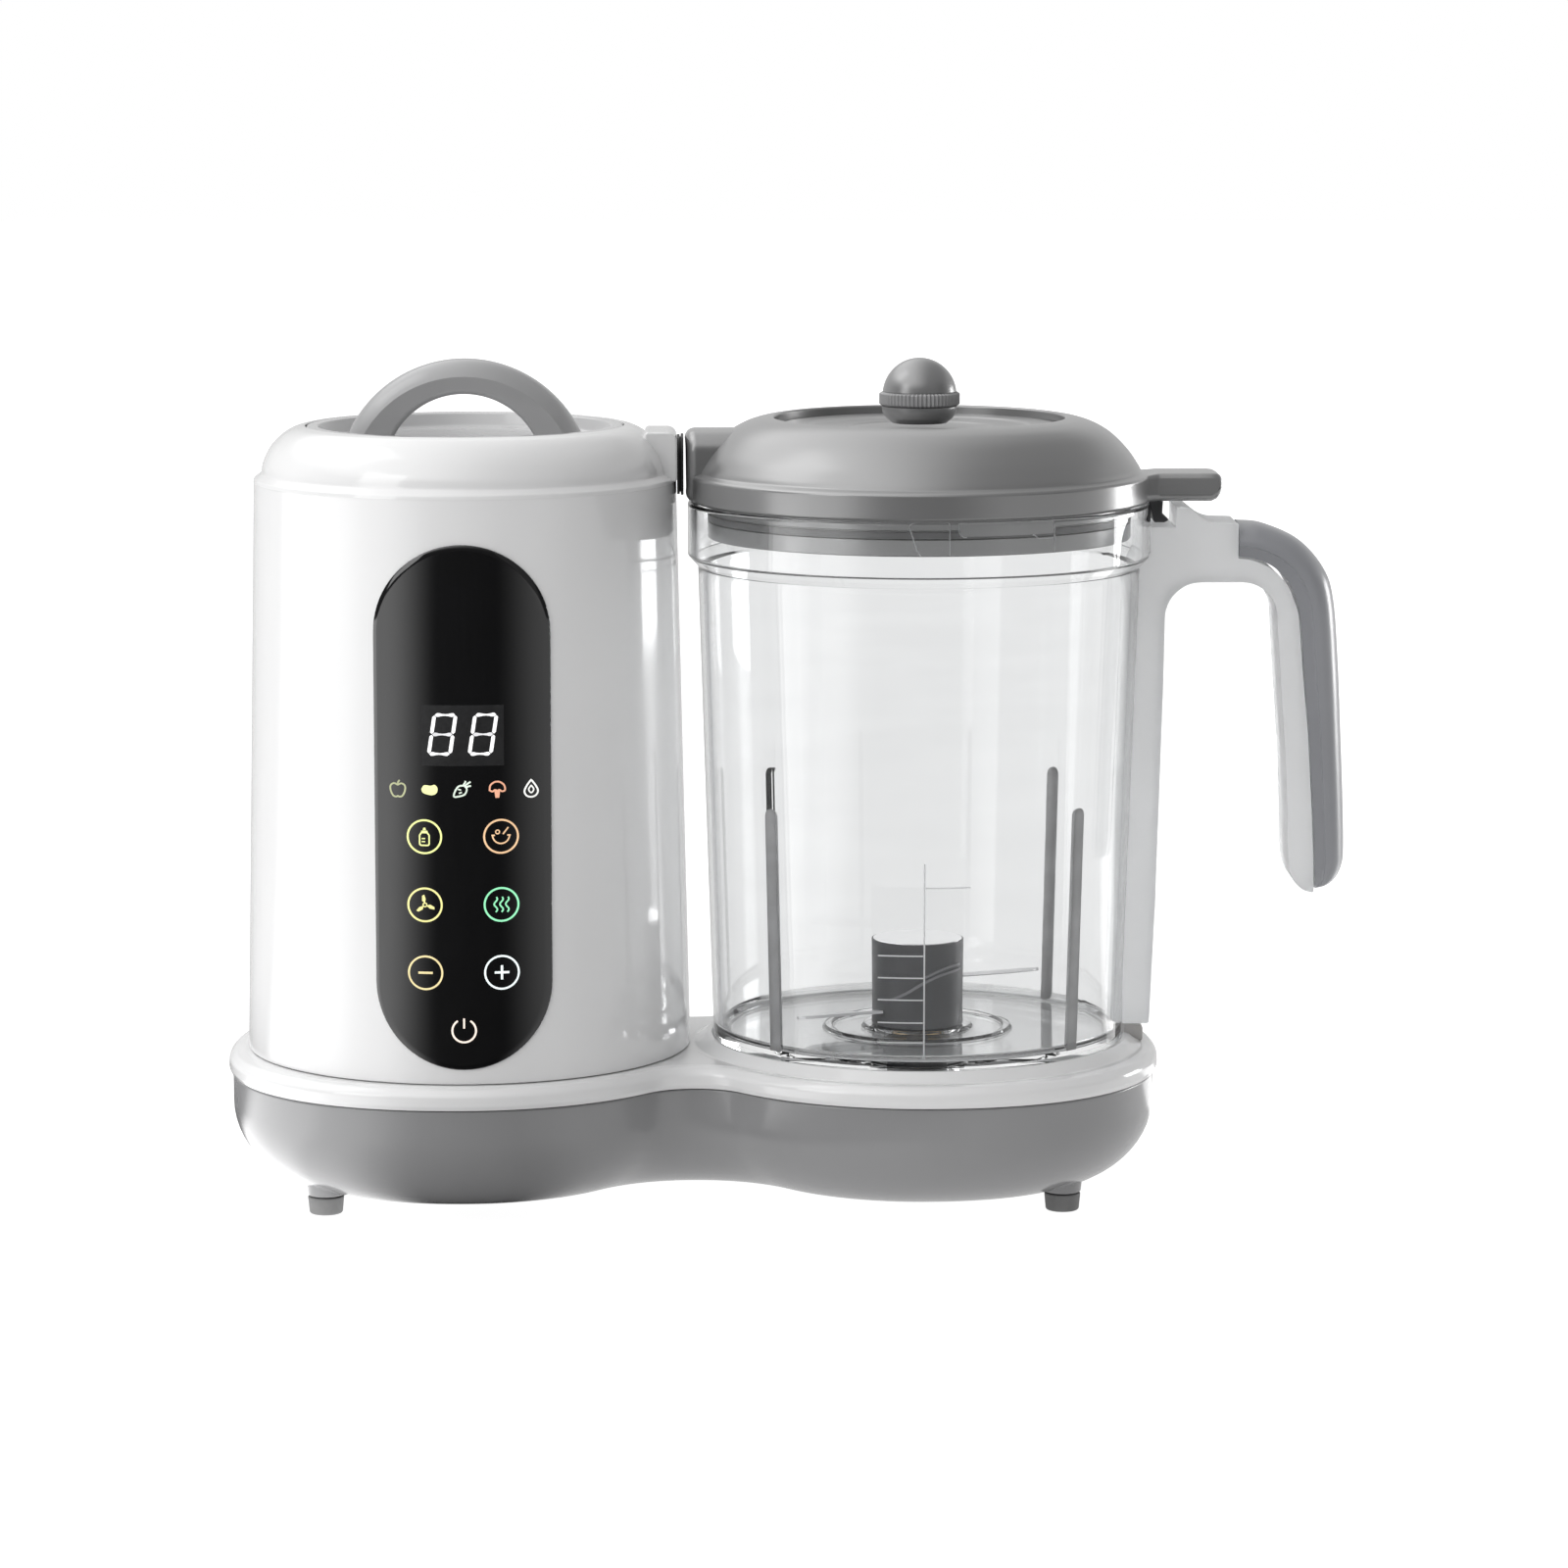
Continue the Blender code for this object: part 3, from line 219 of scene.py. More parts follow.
def bore(name, radius, low, high, centre, steps):
    """A cylinder to cut a hole with."""
    return lathe(name, [(0, high), (radius, high), (radius, low), (0, low)], centre, steps)


def evaluated(obj):
    """Apply the object's modifiers to its mesh."""
    bpy.context.view_layer.update()
    source = obj.evaluated_get(bpy.context.evaluated_depsgraph_get())
    mesh = bpy.data.meshes.new_from_object(source)
    obj.modifiers.clear()
    old = obj.data
    obj.data = mesh
    bpy.data.meshes.remove(old)
    mesh.name = obj.name
    return obj


def rounded(obj, width, segments=4, angle=30):
    """Round the edges that are sharper than an angle."""
    bevel = obj.modifiers.new("round_edges", "BEVEL")
    bevel.width = width * MM
    bevel.segments = segments
    bevel.limit_method = "ANGLE"
    bevel.angle_limit = radians(angle)
    bevel.harden_normals = False
    evaluated(obj)
    obj.data.shade_smooth()
    obj.data.set_sharp_from_angle(angle=radians(38))
    return obj


def combined(obj, *tools, operation="DIFFERENCE"):
    """Cut other shapes out of an object, or join them to it, and remove them."""
    for tool in tools:
        modifier = obj.modifiers.new("boolean", "BOOLEAN")
        modifier.operation = operation
        modifier.object = tool
        evaluated(obj)
        bpy.data.objects.remove(tool, do_unlink=True)
    obj.data.shade_smooth()
    obj.data.set_sharp_from_angle(angle=radians(38))
    return obj


def plate(name, outline, low, high, axis="Z", bevel=0, segments=4):
    """An outline extruded between two heights; axis Y stands it up with (x, z), axis X with (y, z)."""
    def point(a, b, c):
        return {"Z": (a, b, c), "Y": (a, c, b), "X": (c, a, b)}[axis]

    obj = loft(name, [[point(a, b, height) for a, b in outline] for height in (low, high)])
    return rounded(obj, bevel, segments) if bevel else obj


def finish(obj, look, body, *nodes, slot=None):
    """Give a piece its look and smooth normals, and tie it to its body and the CAD nodes it replaces."""
    obj.data.materials.clear()
    obj.data.materials.append(LOOKS[look])
    obj.modifiers.new("weighted_normals", "WEIGHTED_NORMAL").keep_sharp = True
    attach(obj, body)
    if nodes:
        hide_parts(*nodes)
    return obj


# Materials
LOOKS = {}


def shade(tree, kind, inputs=(), **settings):
    """A shader node with its settings; an input is a value or the socket that it is linked to."""
    node = tree.nodes.new("ShaderNode" + kind)
    for name, value in settings.items():
        setattr(node, name, value)
    for key, value in dict(inputs).items():
        if isinstance(value, bpy.types.NodeSocket):
            tree.links.new(value, node.inputs[key])
        else:
            node.inputs[key].default_value = value
    return node


def noise(tree, scale, detail=3, stretch=(1, 1, 1)):
    """Noise in the object's own coordinates; scale is waves per metre."""
    coords = shade(tree, "TexCoord").outputs["Object"]
    mapping = shade(tree, "Mapping", {"Vector": coords, "Scale": stretch})
    texture = shade(tree, "TexNoise", {"Vector": mapping.outputs["Vector"], "Scale": scale, "Detail": detail})
    return texture.outputs["Fac"]


def mapped(tree, value, low, high, start=0.3, end=0.7):
    """A value between start and end, eased to the range from low to high."""
    inputs = {"Value": value, "From Min": start, "From Max": end, "To Min": low, "To Max": high}
    return shade(tree, "MapRange", inputs, interpolation_type="SMOOTHSTEP").outputs["Result"]


def colour_mix(tree, factor, one, two):
    """From one colour or colour socket to another."""
    inputs = {0: factor}
    for key, colour in ((6, one), (7, two)):
        inputs[key] = (*colour, 1) if isinstance(colour, tuple) else colour
    return shade(tree, "Mix", inputs, data_type="RGBA").outputs[2]


def calculated(tree, operation, one, two):
    """What a Math node makes of two sockets or numbers."""
    return shade(tree, "Math", {0: one, 1: two}, operation=operation).outputs[0]


def material(name, colour, roughness, tint=0.03, patch=45, grain=1800, bump=0.000012,
             stretch=(1, 1, 1), **sockets):
    """Moulded or metal surface: patches in colour, uneven roughness and a fine bump."""
    result = bpy.data.materials.new(name)
    result.use_nodes = True
    tree = result.node_tree
    shader = tree.nodes["Principled BSDF"]
    patches = noise(tree, patch, 4, stretch)
    dark = tuple(channel * (1 - tint) for channel in colour)
    light = tuple(min(1, channel * (1 + tint)) for channel in colour)
    tree.links.new(colour_mix(tree, mapped(tree, patches, 0, 1), dark, light), shader.inputs["Base Color"])
    wear = noise(tree, patch * 3.1, 5, stretch)
    tree.links.new(mapped(tree, wear, *roughness), shader.inputs["Roughness"])
    relief = shade(tree, "Bump", {"Strength": 1, "Distance": bump, "Height": noise(tree, grain, 3, stretch)})
    tree.links.new(relief.outputs["Normal"], shader.inputs["Normal"])
    for socket, value in sockets.items():
        shader.inputs[socket.replace("_", " ")].default_value = value
    LOOKS[name] = result
    return result


def let_lamps_through(name, tint):
    """Clear plastic casts only a faint shadow: lamps see a tinted transparent surface."""
    tree = LOOKS[name].node_tree
    window = shade(tree, "BsdfTransparent", {"Color": (*tint, 1)})
    shadow = shade(tree, "LightPath").outputs["Is Shadow Ray"]
    shader = tree.nodes["Principled BSDF"].outputs["BSDF"]
    mix = shade(tree, "MixShader", {0: shadow, 1: shader, 2: window.outputs["BSDF"]})
    tree.links.new(mix.outputs["Shader"], tree.nodes["Material Output"].inputs["Surface"])


def lit_material(name, colour, strength):
    """A printed icon lit from behind, a little uneven as a diffuser is."""
    tree = material(name, tuple(channel * 0.6 for channel in colour), (0.29, 0.38), 0.05, 400).node_tree
    shader = tree.nodes["Principled BSDF"]
    shader.inputs["Emission Color"].default_value = (*colour, 1)
    glow = mapped(tree, noise(tree, 260), strength * 0.8, strength)
    tree.links.new(glow, shader.inputs["Emission Strength"])


material("polished_steel", (0.95, 0.95, 0.955), (0.05, 0.09), 0.02, 200, 700, 0.000001, Metallic=1)
material("flute_plastic", (0.24, 0.24, 0.25), (0.30, 0.42), 0.08, 90, 2400, 0.00001)
material("grey_silicone", (0.125, 0.125, 0.127), (0.30, 0.36), 0.04, 90, 1600, 0.00001)
material("white_plastic", (0.86, 0.86, 0.862), (0.08, 0.12), 0.008, 25, 700, 0.000004, Coat_Weight=0.5,
         Coat_Roughness=0.05)
material("grey_plastic", (0.30, 0.30, 0.305), (0.16, 0.22), 0.02, 30, 2600, 0.000006, Coat_Weight=0.5,
         Coat_Roughness=0.12)
material("arch_plastic", (0.37, 0.37, 0.375), (0.16, 0.22), 0.02, 30, 2600, 0.000004, Coat_Weight=0.5,
         Coat_Roughness=0.12)
material("lid_plastic", (0.165, 0.165, 0.167), (0.285, 0.32), 0.015, 18, 900, 0.000002, Specular_IOR_Level=1,
         IOR=1.8, Coat_Weight=0.8, Coat_Roughness=0.22)
material("dark_plastic", (0.085, 0.086, 0.09), (0.34, 0.48), 0.10, 80, 2600, 0.00002)
material("panel_glass", (0.0025, 0.0025, 0.003), (0.06, 0.10), 0.20, 60, 500, 0.000002, Coat_Weight=1,
         Coat_Roughness=0.04)
material("foot_rubber", (0.22, 0.22, 0.22), (0.65, 0.85), 0.08, 150, 2200, 0.00004)
material("black_rubber", (0.012, 0.012, 0.013), (0.42, 0.60), 0.15, 120, 2400, 0.00003)
material("silicone", (0.55, 0.56, 0.57), (0.45, 0.60), 0.03, 90, 1600, 0.00002)
material("clear_plastic", (0.975, 0.98, 0.982), (0, 0.015), 0.004, 20, 90, 0.000004, Transmission_Weight=1,
         IOR=1.50)
material("frosted_plastic", (0.88, 0.885, 0.89), (0.38, 0.50), 0.02, 35, 2400, 0.00002,
         Transmission_Weight=0.6, IOR=1.46)
material("insert_plastic", (0.30, 0.305, 0.325), (0.285, 0.34), 0.03, 40, 1500, 0.000004, Coat_Weight=0.6,
         Coat_Roughness=0.24)
# Painted shade: the warmer cover is white plastic like the tower; this dimmer white paints the shade on its
# dish wall into the whole disc.
material("cover_plastic", (0.60, 0.60, 0.605), (0.12, 0.18), 0.01, 25, 700, 0.000004, Coat_Weight=0.4,
         Coat_Roughness=0.08)
# Painted shade: the ribs are clear plastic like the jug, and this grey, half-clear look paints in the dark
# bars that refraction makes in them.
material("rib_plastic", (0.42, 0.42, 0.425), (0.29, 0.36), 0.12, 160, 900, 0.000006, Transmission_Weight=0.55,
         IOR=1.5)
material("beige_plastic", (0.52, 0.505, 0.49), (0.40, 0.55), 0.03, 110, 2600, 0.00002)
material("steel", (0.60, 0.60, 0.61), (0.285, 0.38), 0.05, 300, 900, 0.000008, (1, 1, 9), Metallic=1)
material("aluminium", (0.78, 0.78, 0.79), (0.285, 0.42), 0.04, 120, 900, 0.00001, (1, 1, 0.15), Metallic=1)
material("brass", (0.72, 0.52, 0.27), (0.29, 0.42), 0.08, 200, 1400, 0.00002, Metallic=1)
material("board", (0.025, 0.15, 0.07), (0.35, 0.55), 0.15, 260, 1200, 0.00003)
let_lamps_through("clear_plastic", (0.93, 0.935, 0.94))
let_lamps_through("frosted_plastic", (0.62, 0.625, 0.63))

for row in frame["record"]["subparts"]:
    obj = frame["nodes"][row["node"]]
    obj.data.materials.clear()
    obj.data.materials.append(LOOKS[row["material_slot"]])


# Base
LOBE_R = 65.2
WAIST_R = 17
SQUARENESS = 2.2
MIDDLE_X = (TOWER_X + JUG_X) / 2
HALF_SPACING = (JUG_X - TOWER_X) / 2
FILLET_Y = sqrt((LOBE_R + WAIST_R) ** 2 - HALF_SPACING ** 2)
TANGENT = degrees(atan2(FILLET_Y, -HALF_SPACING))


def base_plan(offset):
    """The figure-8 plan moved outwards by an offset: squared outer lobes and a fillet at the waist."""
    half = []
    outer = [-90 + 180 * number / 72 for number in range(73)]
    inner = [90 + (TANGENT - 90) * number / 12 for number in range(1, 13)]
    for angle in [-value for value in reversed(inner)] + outer + inner:
        turn = radians(angle)
        reach = LOBE_R + offset
        if abs(angle) < 90:
            reach /= (cos(turn) ** SQUARENESS + abs(sin(turn)) ** SQUARENESS) ** (1 / SQUARENESS)
        half.append((HALF_SPACING + reach * cos(turn), reach * sin(turn)))
    half += arc((0, FILLET_Y), WAIST_R - offset, TANGENT - 180, -TANGENT, 24)[1:-1]
    return [(MIDDLE_X + x, y) for x, y in half] + [(MIDDLE_X - x, -y) for x, y in half]


def plan_solid(name, profile):
    """A solid through rings of the plan; the profile runs as (offset, z, corner radius) from cap to cap."""
    rings = [[(x, y, z) for x, y in base_plan(offset)] for offset, z in fillet(profile, closed=False)]
    return loft(name, rings)


def make_base():
    bottom_z = low_z("base_lower_shell")
    rise, run = 22, 25
    top = PARTING_Z - 0.3
    bowl = [(run * (sin(radians(angle)) - 1), bottom_z + rise * (1 - cos(radians(angle))))
            for angle in range(0, 91, 6)]
    inside = [(offset - 2.4, max(z, bottom_z + 2.4)) for offset, z in reversed(bowl[1:])]
    tub = plan_solid("base_tub", bowl + [(0, top, 0.5), (-2.4, top)] + inside)
    finish(tub, "grey_plastic", "root", "base_lower_shell")

    low = PARTING_Z
    lip = [(-2.6, PLATE_Z - 3), (-2.6, low), (0.5, low, 0.35), (1.10, low + 1.2, 1.2), (1, low + 3.9, 2.2),
           (-0.6, PLATE_Z - 0.35, 2.2), (-3.2, PLATE_Z, 3), (-6, PLATE_Z)]
    base_plate = plan_solid("base_plate", lip)
    combined(base_plate, bore("seat_tool", 57, JUG_FOOT_Z - 0.3, 50, JUG, 180),
             bore("drive_tool", 9.2, 30, 50, JUG, 72), bore("tower_tool", 34.5, 30, 50, TOWER, 96),
             bore("plunger_tool", 1.8, 30, 50, PLUNGER, 32))
    finish(base_plate, "white_plastic", "root", "base_top_plate")

    rim = [(56.8, 39.8), (56.8, SEAT_RIM_Z, 0.4), (58.2, SEAT_RIM_Z, 0.9), (61.9, PLATE_Z + 0.05, 1.4),
           (63, PLATE_Z + 0.02), (62.6, PLATE_Z - 0.6), (58, 39.8)]
    rim_piece = lathe("seat_rim", rim, JUG, 240)
    notch = plate("notch_tool", [(JUG_X + 50, -4.8), (JUG_X + 70, -4.8), (JUG_X + 70, 4.8),
                                 (JUG_X + 50, 4.8)], 38, 46)
    finish(combined(rim_piece, notch), "white_plastic", "root")


def make_feet():
    for side in ("front_left", "front_right", "back_left", "back_right"):
        low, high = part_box("foot_" + side)
        centre = ((low.x + high.x) / 2 / MM, (low.y + high.y) / 2 / MM)
        top = high.z / MM
        pad = [(0, top), (4.95, top, 0.4), (4.5, 0, 0.8), (3.2, 0, 0.1), (3, 0.5, 0.2), (0, 0.5)]
        finish(lathe("pad_" + side, pad, centre, 48), "foot_rubber", "root", "foot_" + side)
        post = [(0, 10.5), (5.6, 10.5), (5, top + 0.3, 0.5), (0, top + 0.3)]
        finish(lathe("post_" + side, post, centre, 48), "grey_plastic", "root")


# Tower
def tower_radius(z):
    return TOWER_FOOT_R + (TOWER_TOP_R - TOWER_FOOT_R) * (z - PLATE_Z) / (TOWER_TOP_Z - PLATE_Z)


def make_tower():
    foot = PLATE_Z + 0.2
    top = TOWER_TOP_Z
    wall = [(TOWER_TOP_R - 2.4, top), (TOWER_TOP_R, top, 0.25), (TOWER_FOOT_R, foot, 0.4),
            (TOWER_FOOT_R - 2.4, foot)]
    finish(lathe("tower_body", wall, TOWER, 240), "white_plastic", "root", "tower_shell")

    crown_z = high_z("tower_shoulder")
    crown = spline([(55.35, 199.6), (55, 201.8), (53.7, 204.9), (51.9, 207.5), (49.3, 209.9), (46.6, 211.4),
                    (43.9, crown_z)], 5)
    dome = [(TOWER_TOP_R - 2, top + 0.1), (TOWER_TOP_R - 0.3, top - 0.25),
            (TOWER_TOP_R + 0.12, top - 0.3, 0.08), (TOWER_TOP_R - 0.05, top + 0.8, 0.8),
            (55.6, 199.2, 0.5)] + crown
    dome += [(43.4, crown_z, 0.25), (43.4, 205.2), (39.2, 205.2, 0.4), (39.2, 203), (44.4, 203), (44.6, 209),
             (48.1, 207.2), (51.6, 203)]
    finish(lathe("tower_dome", dome, TOWER, 240), "white_plastic", "root", "tower_shoulder")

    outline = fillet([(49, 197.3), (57.7, 197.3, 0.6), (57.7, 210.7, 2.6), (49, 210.7, 1)])
    housing = plate("port_housing", [(TOWER_X + x, z) for x, z in outline], -11.5, 11.5, "Y", 2.2, 5)
    finish(housing, "white_plastic", "root")

    seal_low, seal_high = corners_of("steam_seal")
    rings = []
    for x, inset in ((-0.25, 0.6), (-0.2, 0.2), (0.45, 0.2), (0.55, 0.9), (0.7, 0.9), (0.8, 0), (1.4, 0),
                     (1.5, 0.15)):
        corners = [(seal_low.y + inset, seal_low.z + inset), (seal_high.y - inset, seal_low.z + inset),
                   (seal_high.y - inset, seal_high.z - inset), (seal_low.y + inset, seal_high.z - inset)]
        outline = fillet([(y, z, 4 - inset) for y, z in corners], step=9)
        rings.append([(seal_low.x + x, y, z) for y, z in outline])
    finish(loft("port_seal", rings, 50), "black_rubber", "root", "steam_seal")


def make_well():
    low, high = heights("warming_well")
    bowl = [(0, low), (34.6, low, 4), (38.6, low + 5, 3), (38.6, high, 0.4), (37, high, 0.4),
            (37, low + 5, 5), (33, low + 1.6, 3), (0, low + 1.6)]
    finish(lathe("well_liner", bowl, TOWER, 120), "aluminium", "root", "warming_well")


def make_warmer_cover():
    face_z = high_z("warmer_lid")
    profile = [(0, DISH_Z), (38.6, DISH_Z, 1.3), (39.9, face_z, 0.7), (43, face_z, 0.6), (43, 205.6, 0.3),
               (36.4, 205.6), (36.4, 204), (35.2, 204), (35.2, 201.5), (36.4, 201.5), (36.4, 200), (34, 200),
               (34, 206.2), (0, 206.2)]
    # The cover disc takes the dimmer white: painted shade for its dish wall.
    finish(lathe("warmer_cover_disc", profile, TOWER, 180), "cover_plastic", "warmer_cover", "warmer_lid")
    ring = [(35.4, 201.7, 0.3), (36.7, 201.9, 0.4), (36.9, 202.7, 0.3), (36.7, 203.6, 0.4),
            (35.4, 203.8, 0.3)]
    finish(lathe("warmer_seal", ring, TOWER, 120), "silicone", "warmer_cover", "warmer_gasket")


def make_warmer_arch():
    """The arch: flat flanks, a crease, and a crowned back that stays as high along the whole arch."""
    foot = low_z("warmer_handle")
    outer_z, outer_r = 195, high_z("warmer_handle") - 195
    inner_z, inner_r = 199.2, 21.5
    half, crown = 7.8, 4.5
    outer_start = degrees(asin((foot - outer_z) / outer_r))
    inner_start = degrees(asin((foot - inner_z) / inner_r))
    crown_r = (half ** 2 + crown ** 2) / (2 * crown)
    span = degrees(asin(half / crown_r))
    rings = []
    steps = 72
    for number in range(steps + 1):
        share = number / steps
        outer_turn = radians(outer_start + (180 - 2 * outer_start) * share)
        inner_turn = radians(inner_start + (180 - 2 * inner_start) * share)
        outer = Vector((outer_r * cos(outer_turn), 0, outer_z + outer_r * sin(outer_turn)))
        inner = Vector((inner_r * cos(inner_turn), 0, inner_z + inner_r * sin(inner_turn)))
        thick = (outer - inner).length
        flank = thick - crown
        section = fillet([(-half, flank), (-half, flank - 0.5), (-half + 0.35, 0, 1.6), (half - 0.35, 0, 1.6),
                          (half, flank - 0.5), (half, flank)], False)
        ridge = arc((0, thick - crown_r), crown_r, 90 - span, 90 + span, 18)
        rings.append([Vector((TOWER_X, y, 0)) + inner + (outer - inner) * (n / thick)
                      for y, n in section + ridge[1:-1]])
    finish(loft("warmer_arch", rings, 28), "arch_plastic", "warmer_cover", "warmer_handle")


# Touch panel
PANEL_LOW, PANEL_HIGH = corners_of("control_panel")
PANEL_HALF = (PANEL_HIGH.x - PANEL_LOW.x) / 2
PANEL_PROUD = 0.7
PANEL_SHIFT = 0.75


def on_panel(u, z, lift):
    """A point in front of the tower, u to the right of the panel's middle and lift outside the skin."""
    radius = tower_radius(z)
    u += PANEL_SHIFT
    share = (radius + lift) / radius
    return (TOWER_X + u * share, -sqrt(radius ** 2 - u ** 2) * share, z)


def stadium(inset):
    """The panel's outline, the same number of points at every inset, right side first."""
    radius = PANEL_HALF - inset
    low = PANEL_LOW.z + PANEL_HALF
    high = PANEL_HIGH.z - PANEL_HALF
    side = [low + (high - low) * number / 12 for number in range(1, 12)]
    right = arc((0, low), radius, -90, 0, 20) + [(radius, z) for z in side] + arc((0, high), radius, 0, 90, 20)
    return right, [(-u, z) for u, z in right]


def make_panel():
    work = bmesh.new()
    loops = []
    edge = [(0.5, -0.4), (0, -0.3), (0, 0.15), (0.12, 0.38), (0.35, 0.5), (0.95, 0.62), (1.3, 0.7)]
    for inset, lift in edge:
        right, left = stadium(inset)
        loops.append([work.verts.new(on_panel(u, z, lift)) for u, z in right + left[-2:0:-1]])
    for one, two in zip(loops, loops[1:]):
        bridge(work, one, two)
    work.faces.new(loops[0])
    count = len(stadium(0)[0])
    face = loops[-1]
    columns = 40
    rows = []
    for index in range(count):
        right = face[index]
        left = face[-index] if 0 < index < count - 1 else right
        if right is left:
            rows.append([right])
            continue
        z = right.co.z
        half = (right.co.x - left.co.x) / 2 * tower_radius(z) / (tower_radius(z) + PANEL_PROUD)
        inner = [work.verts.new(on_panel(half * (1 - 2 * number / columns), z,
                                         PANEL_PROUD)) for number in range(1, columns)]
        rows.append([right] + inner + [left])
    for one, two in zip(rows, rows[1:]):
        bridge(work, one, two, closed=False)
    finish(new_object("touch_panel", work, 60), "panel_glass", "root", "control_panel")


class Print:
    """Flat printed marks, as thin closed shells that follow a curved skin."""

    def __init__(self, surface, low, high, origin=(0, 0)):
        self.work = bmesh.new()
        self.surface = surface
        self.low = low
        self.high = high
        self.origin = origin

    def vertices(self, points, lift):
        """One vertex on the skin for each (u, z) point, counted from the marks' origin."""
        right, up = self.origin
        return [self.work.verts.new(self.surface(right + u, up + z, lift)) for u, z in points]

    def band(self, left, right, closed):
        """A shell between two lines of (u, z) points."""
        rows = [self.vertices(left, self.low), self.vertices(left, self.high),
                self.vertices(right, self.high), self.vertices(right, self.low)]
        for one, two in zip(rows, rows[1:] + rows[:1]):
            bridge(self.work, one, two, closed)
        if not closed:
            self.work.faces.new([row[0] for row in rows])
            self.work.faces.new([row[-1] for row in rows])

    def stroke(self, points, width, closed=False):
        """A line of even width."""
        points = [Vector(point) for point in points]
        left, right = [], []
        for index, point in enumerate(points):
            before = points[index - 1] if index or closed else point
            after = points[(index + 1) % len(points)] if index < len(points) - 1 or closed else point
            along = (after - before).normalized()
            side = Vector((-along.y, along.x)) * width / 2
            left.append(tuple(point + side))
            right.append(tuple(point - side))
        self.band(left, right, closed)

    def ring(self, centre, radius, width, start=0, end=360):
        """A circle, or an arc of one where start and end say so."""
        whole = end - start >= 360
        points = arc(centre, radius, start, end, 48)
        self.stroke(points[:-1] if whole else points, width, whole)

    def fill(self, points):
        """A filled outline, convex or nearly so."""
        middle = [sum(values) / len(points) for values in zip(*points)]
        lower, upper = self.vertices(points, self.low), self.vertices(points, self.high)
        bridge(self.work, lower, upper)
        bridge(self.work, lower, self.vertices([middle], self.low))
        bridge(self.work, upper, self.vertices([middle], self.high))

    def sheet(self, half_width, low, high, middle=0, columns=24):
        """A filled rectangle that follows the skin across its width."""
        values = [middle - half_width + 2 * half_width * number / columns for number in range(columns + 1)]
        self.band([(u, low) for u in values], [(u, high) for u in values], False)

    def done(self, name, look, body, slot=None):
        return finish(new_object(name, self.work, 30), look, body, slot=slot)


def seven_segments(mark, centre, height, width, thick, slant, parts):
    """The chosen parts of a digit eight: bars with mitred ends on a slanted frame."""
    half_w, half_h = (width - thick) / 2, (height - thick) / 2
    ends = {"top": (-1, 1, 1, 1), "middle": (-1, 0, 1, 0), "bottom": (-1, -1, 1, -1),
            "left_high": (-1, 0, -1, 1), "left_low": (-1, -1, -1, 0), "right_high": (1, 0, 1, 1),
            "right_low": (1, -1, 1, 0)}
    gap = 0.12
    for part in parts:
        u1, v1, u2, v2 = ends[part]
        start, end = Vector((u1 * half_w, v1 * half_h)), Vector((u2 * half_w, v2 * half_h))
        along = (end - start).normalized()
        side = Vector((-along.y, along.x)) * thick / 2
        start, end = start + along * gap, end - along * gap
        tip = along * thick / 2
        outline = [start, start + tip + side, end - tip + side, end, end - tip - side, start + tip - side]
        mark.fill([(centre[0] + point.x + point.y * slant, centre[1] + point.y) for point in outline])


ICON_Z = 120.3
KEY_X = 10
KEY_ROWS = (107.8, 89.6, 71.4)
POWER_Z = 55.9
LINE = 0.45


def closed(points, steps=4):
    """A smooth closed outline through points."""
    return spline(points + points[:1], steps)[:-1]


def mirrored(half):
    """A whole outline from its left half, which starts and ends on the middle line."""
    return half + [(-u, v) for u, v in half[-2:0:-1]]


def icon_apple(mark):
    mark.stroke(closed(mirrored([(0, 1.15), (-1, 1.55), (-1.9, 0.9), (-1.85, -0.5), (-1.2, -1.75),
                                 (-0.45, -2), (0, -1.85)])), LINE, True)
    mark.stroke(spline([(0, 1.25), (0.1, 1.9), (0.5, 2.4)], 4), LINE)


def icon_bean(mark):
    mark.fill(closed([(-2.1, 0.2), (-1.5, 1.15), (-0.5, 1.2), (0.4, 1.1), (1.4, 1.35), (2.15, 0.5),
                      (1.9, -0.8), (0.8, -1.4), (-0.7, -1.2), (-1.8, -0.7)]))


def icon_carrot(mark):
    mark.stroke(closed([(0.55, 1.15), (-0.9, 1), (-1.9, -0.4), (-2.15, -1.75), (-0.9, -1.7), (0.6, -1.2),
                        (1.2, 0.2)]), LINE, True)
    for leaf in ([(0.7, 1), (1.3, 1.6), (2.2, 2.2)], [(0.9, 0.7), (1.7, 1), (2.3, 1.1)],
                 [(0.3, 1.3), (0.7, 1.9), (0.9, 2.4)]):
        mark.stroke(spline(leaf, 4), LINE)
    mark.stroke([(-1.1, 0.2), (-0.3, 0)], LINE * 0.8)
    mark.stroke([(-0.9, -0.9), (-0.1, -0.6)], LINE * 0.8)


def icon_mushroom(mark):
    mark.stroke(closed([(-2, -0.2), (-1.8, 1.1), (-0.9, 1.9), (0, 2.1), (0.9, 1.9), (1.8, 1.1), (2, -0.2),
                        (1.2, -0.5), (0.6, -0.1), (0, -0.3), (-0.6, -0.1), (-1.2, -0.5)]), LINE, True)
    mark.fill([(-0.75, -0.35), (0.75, -0.35), (0.5, -2.2), (-0.5, -2.2)])


def icon_leaf(mark):
    mark.stroke(closed(mirrored([(0, 2.3), (-1.1, 0.8), (-1.75, -0.7), (-1.2, -1.9), (0, -2.3)]), 5), LINE,
                True)
    mark.stroke(closed(mirrored([(0, 0.8), (-0.65, -0.3), (0, -1.2)]), 5), LINE * 0.8, True)


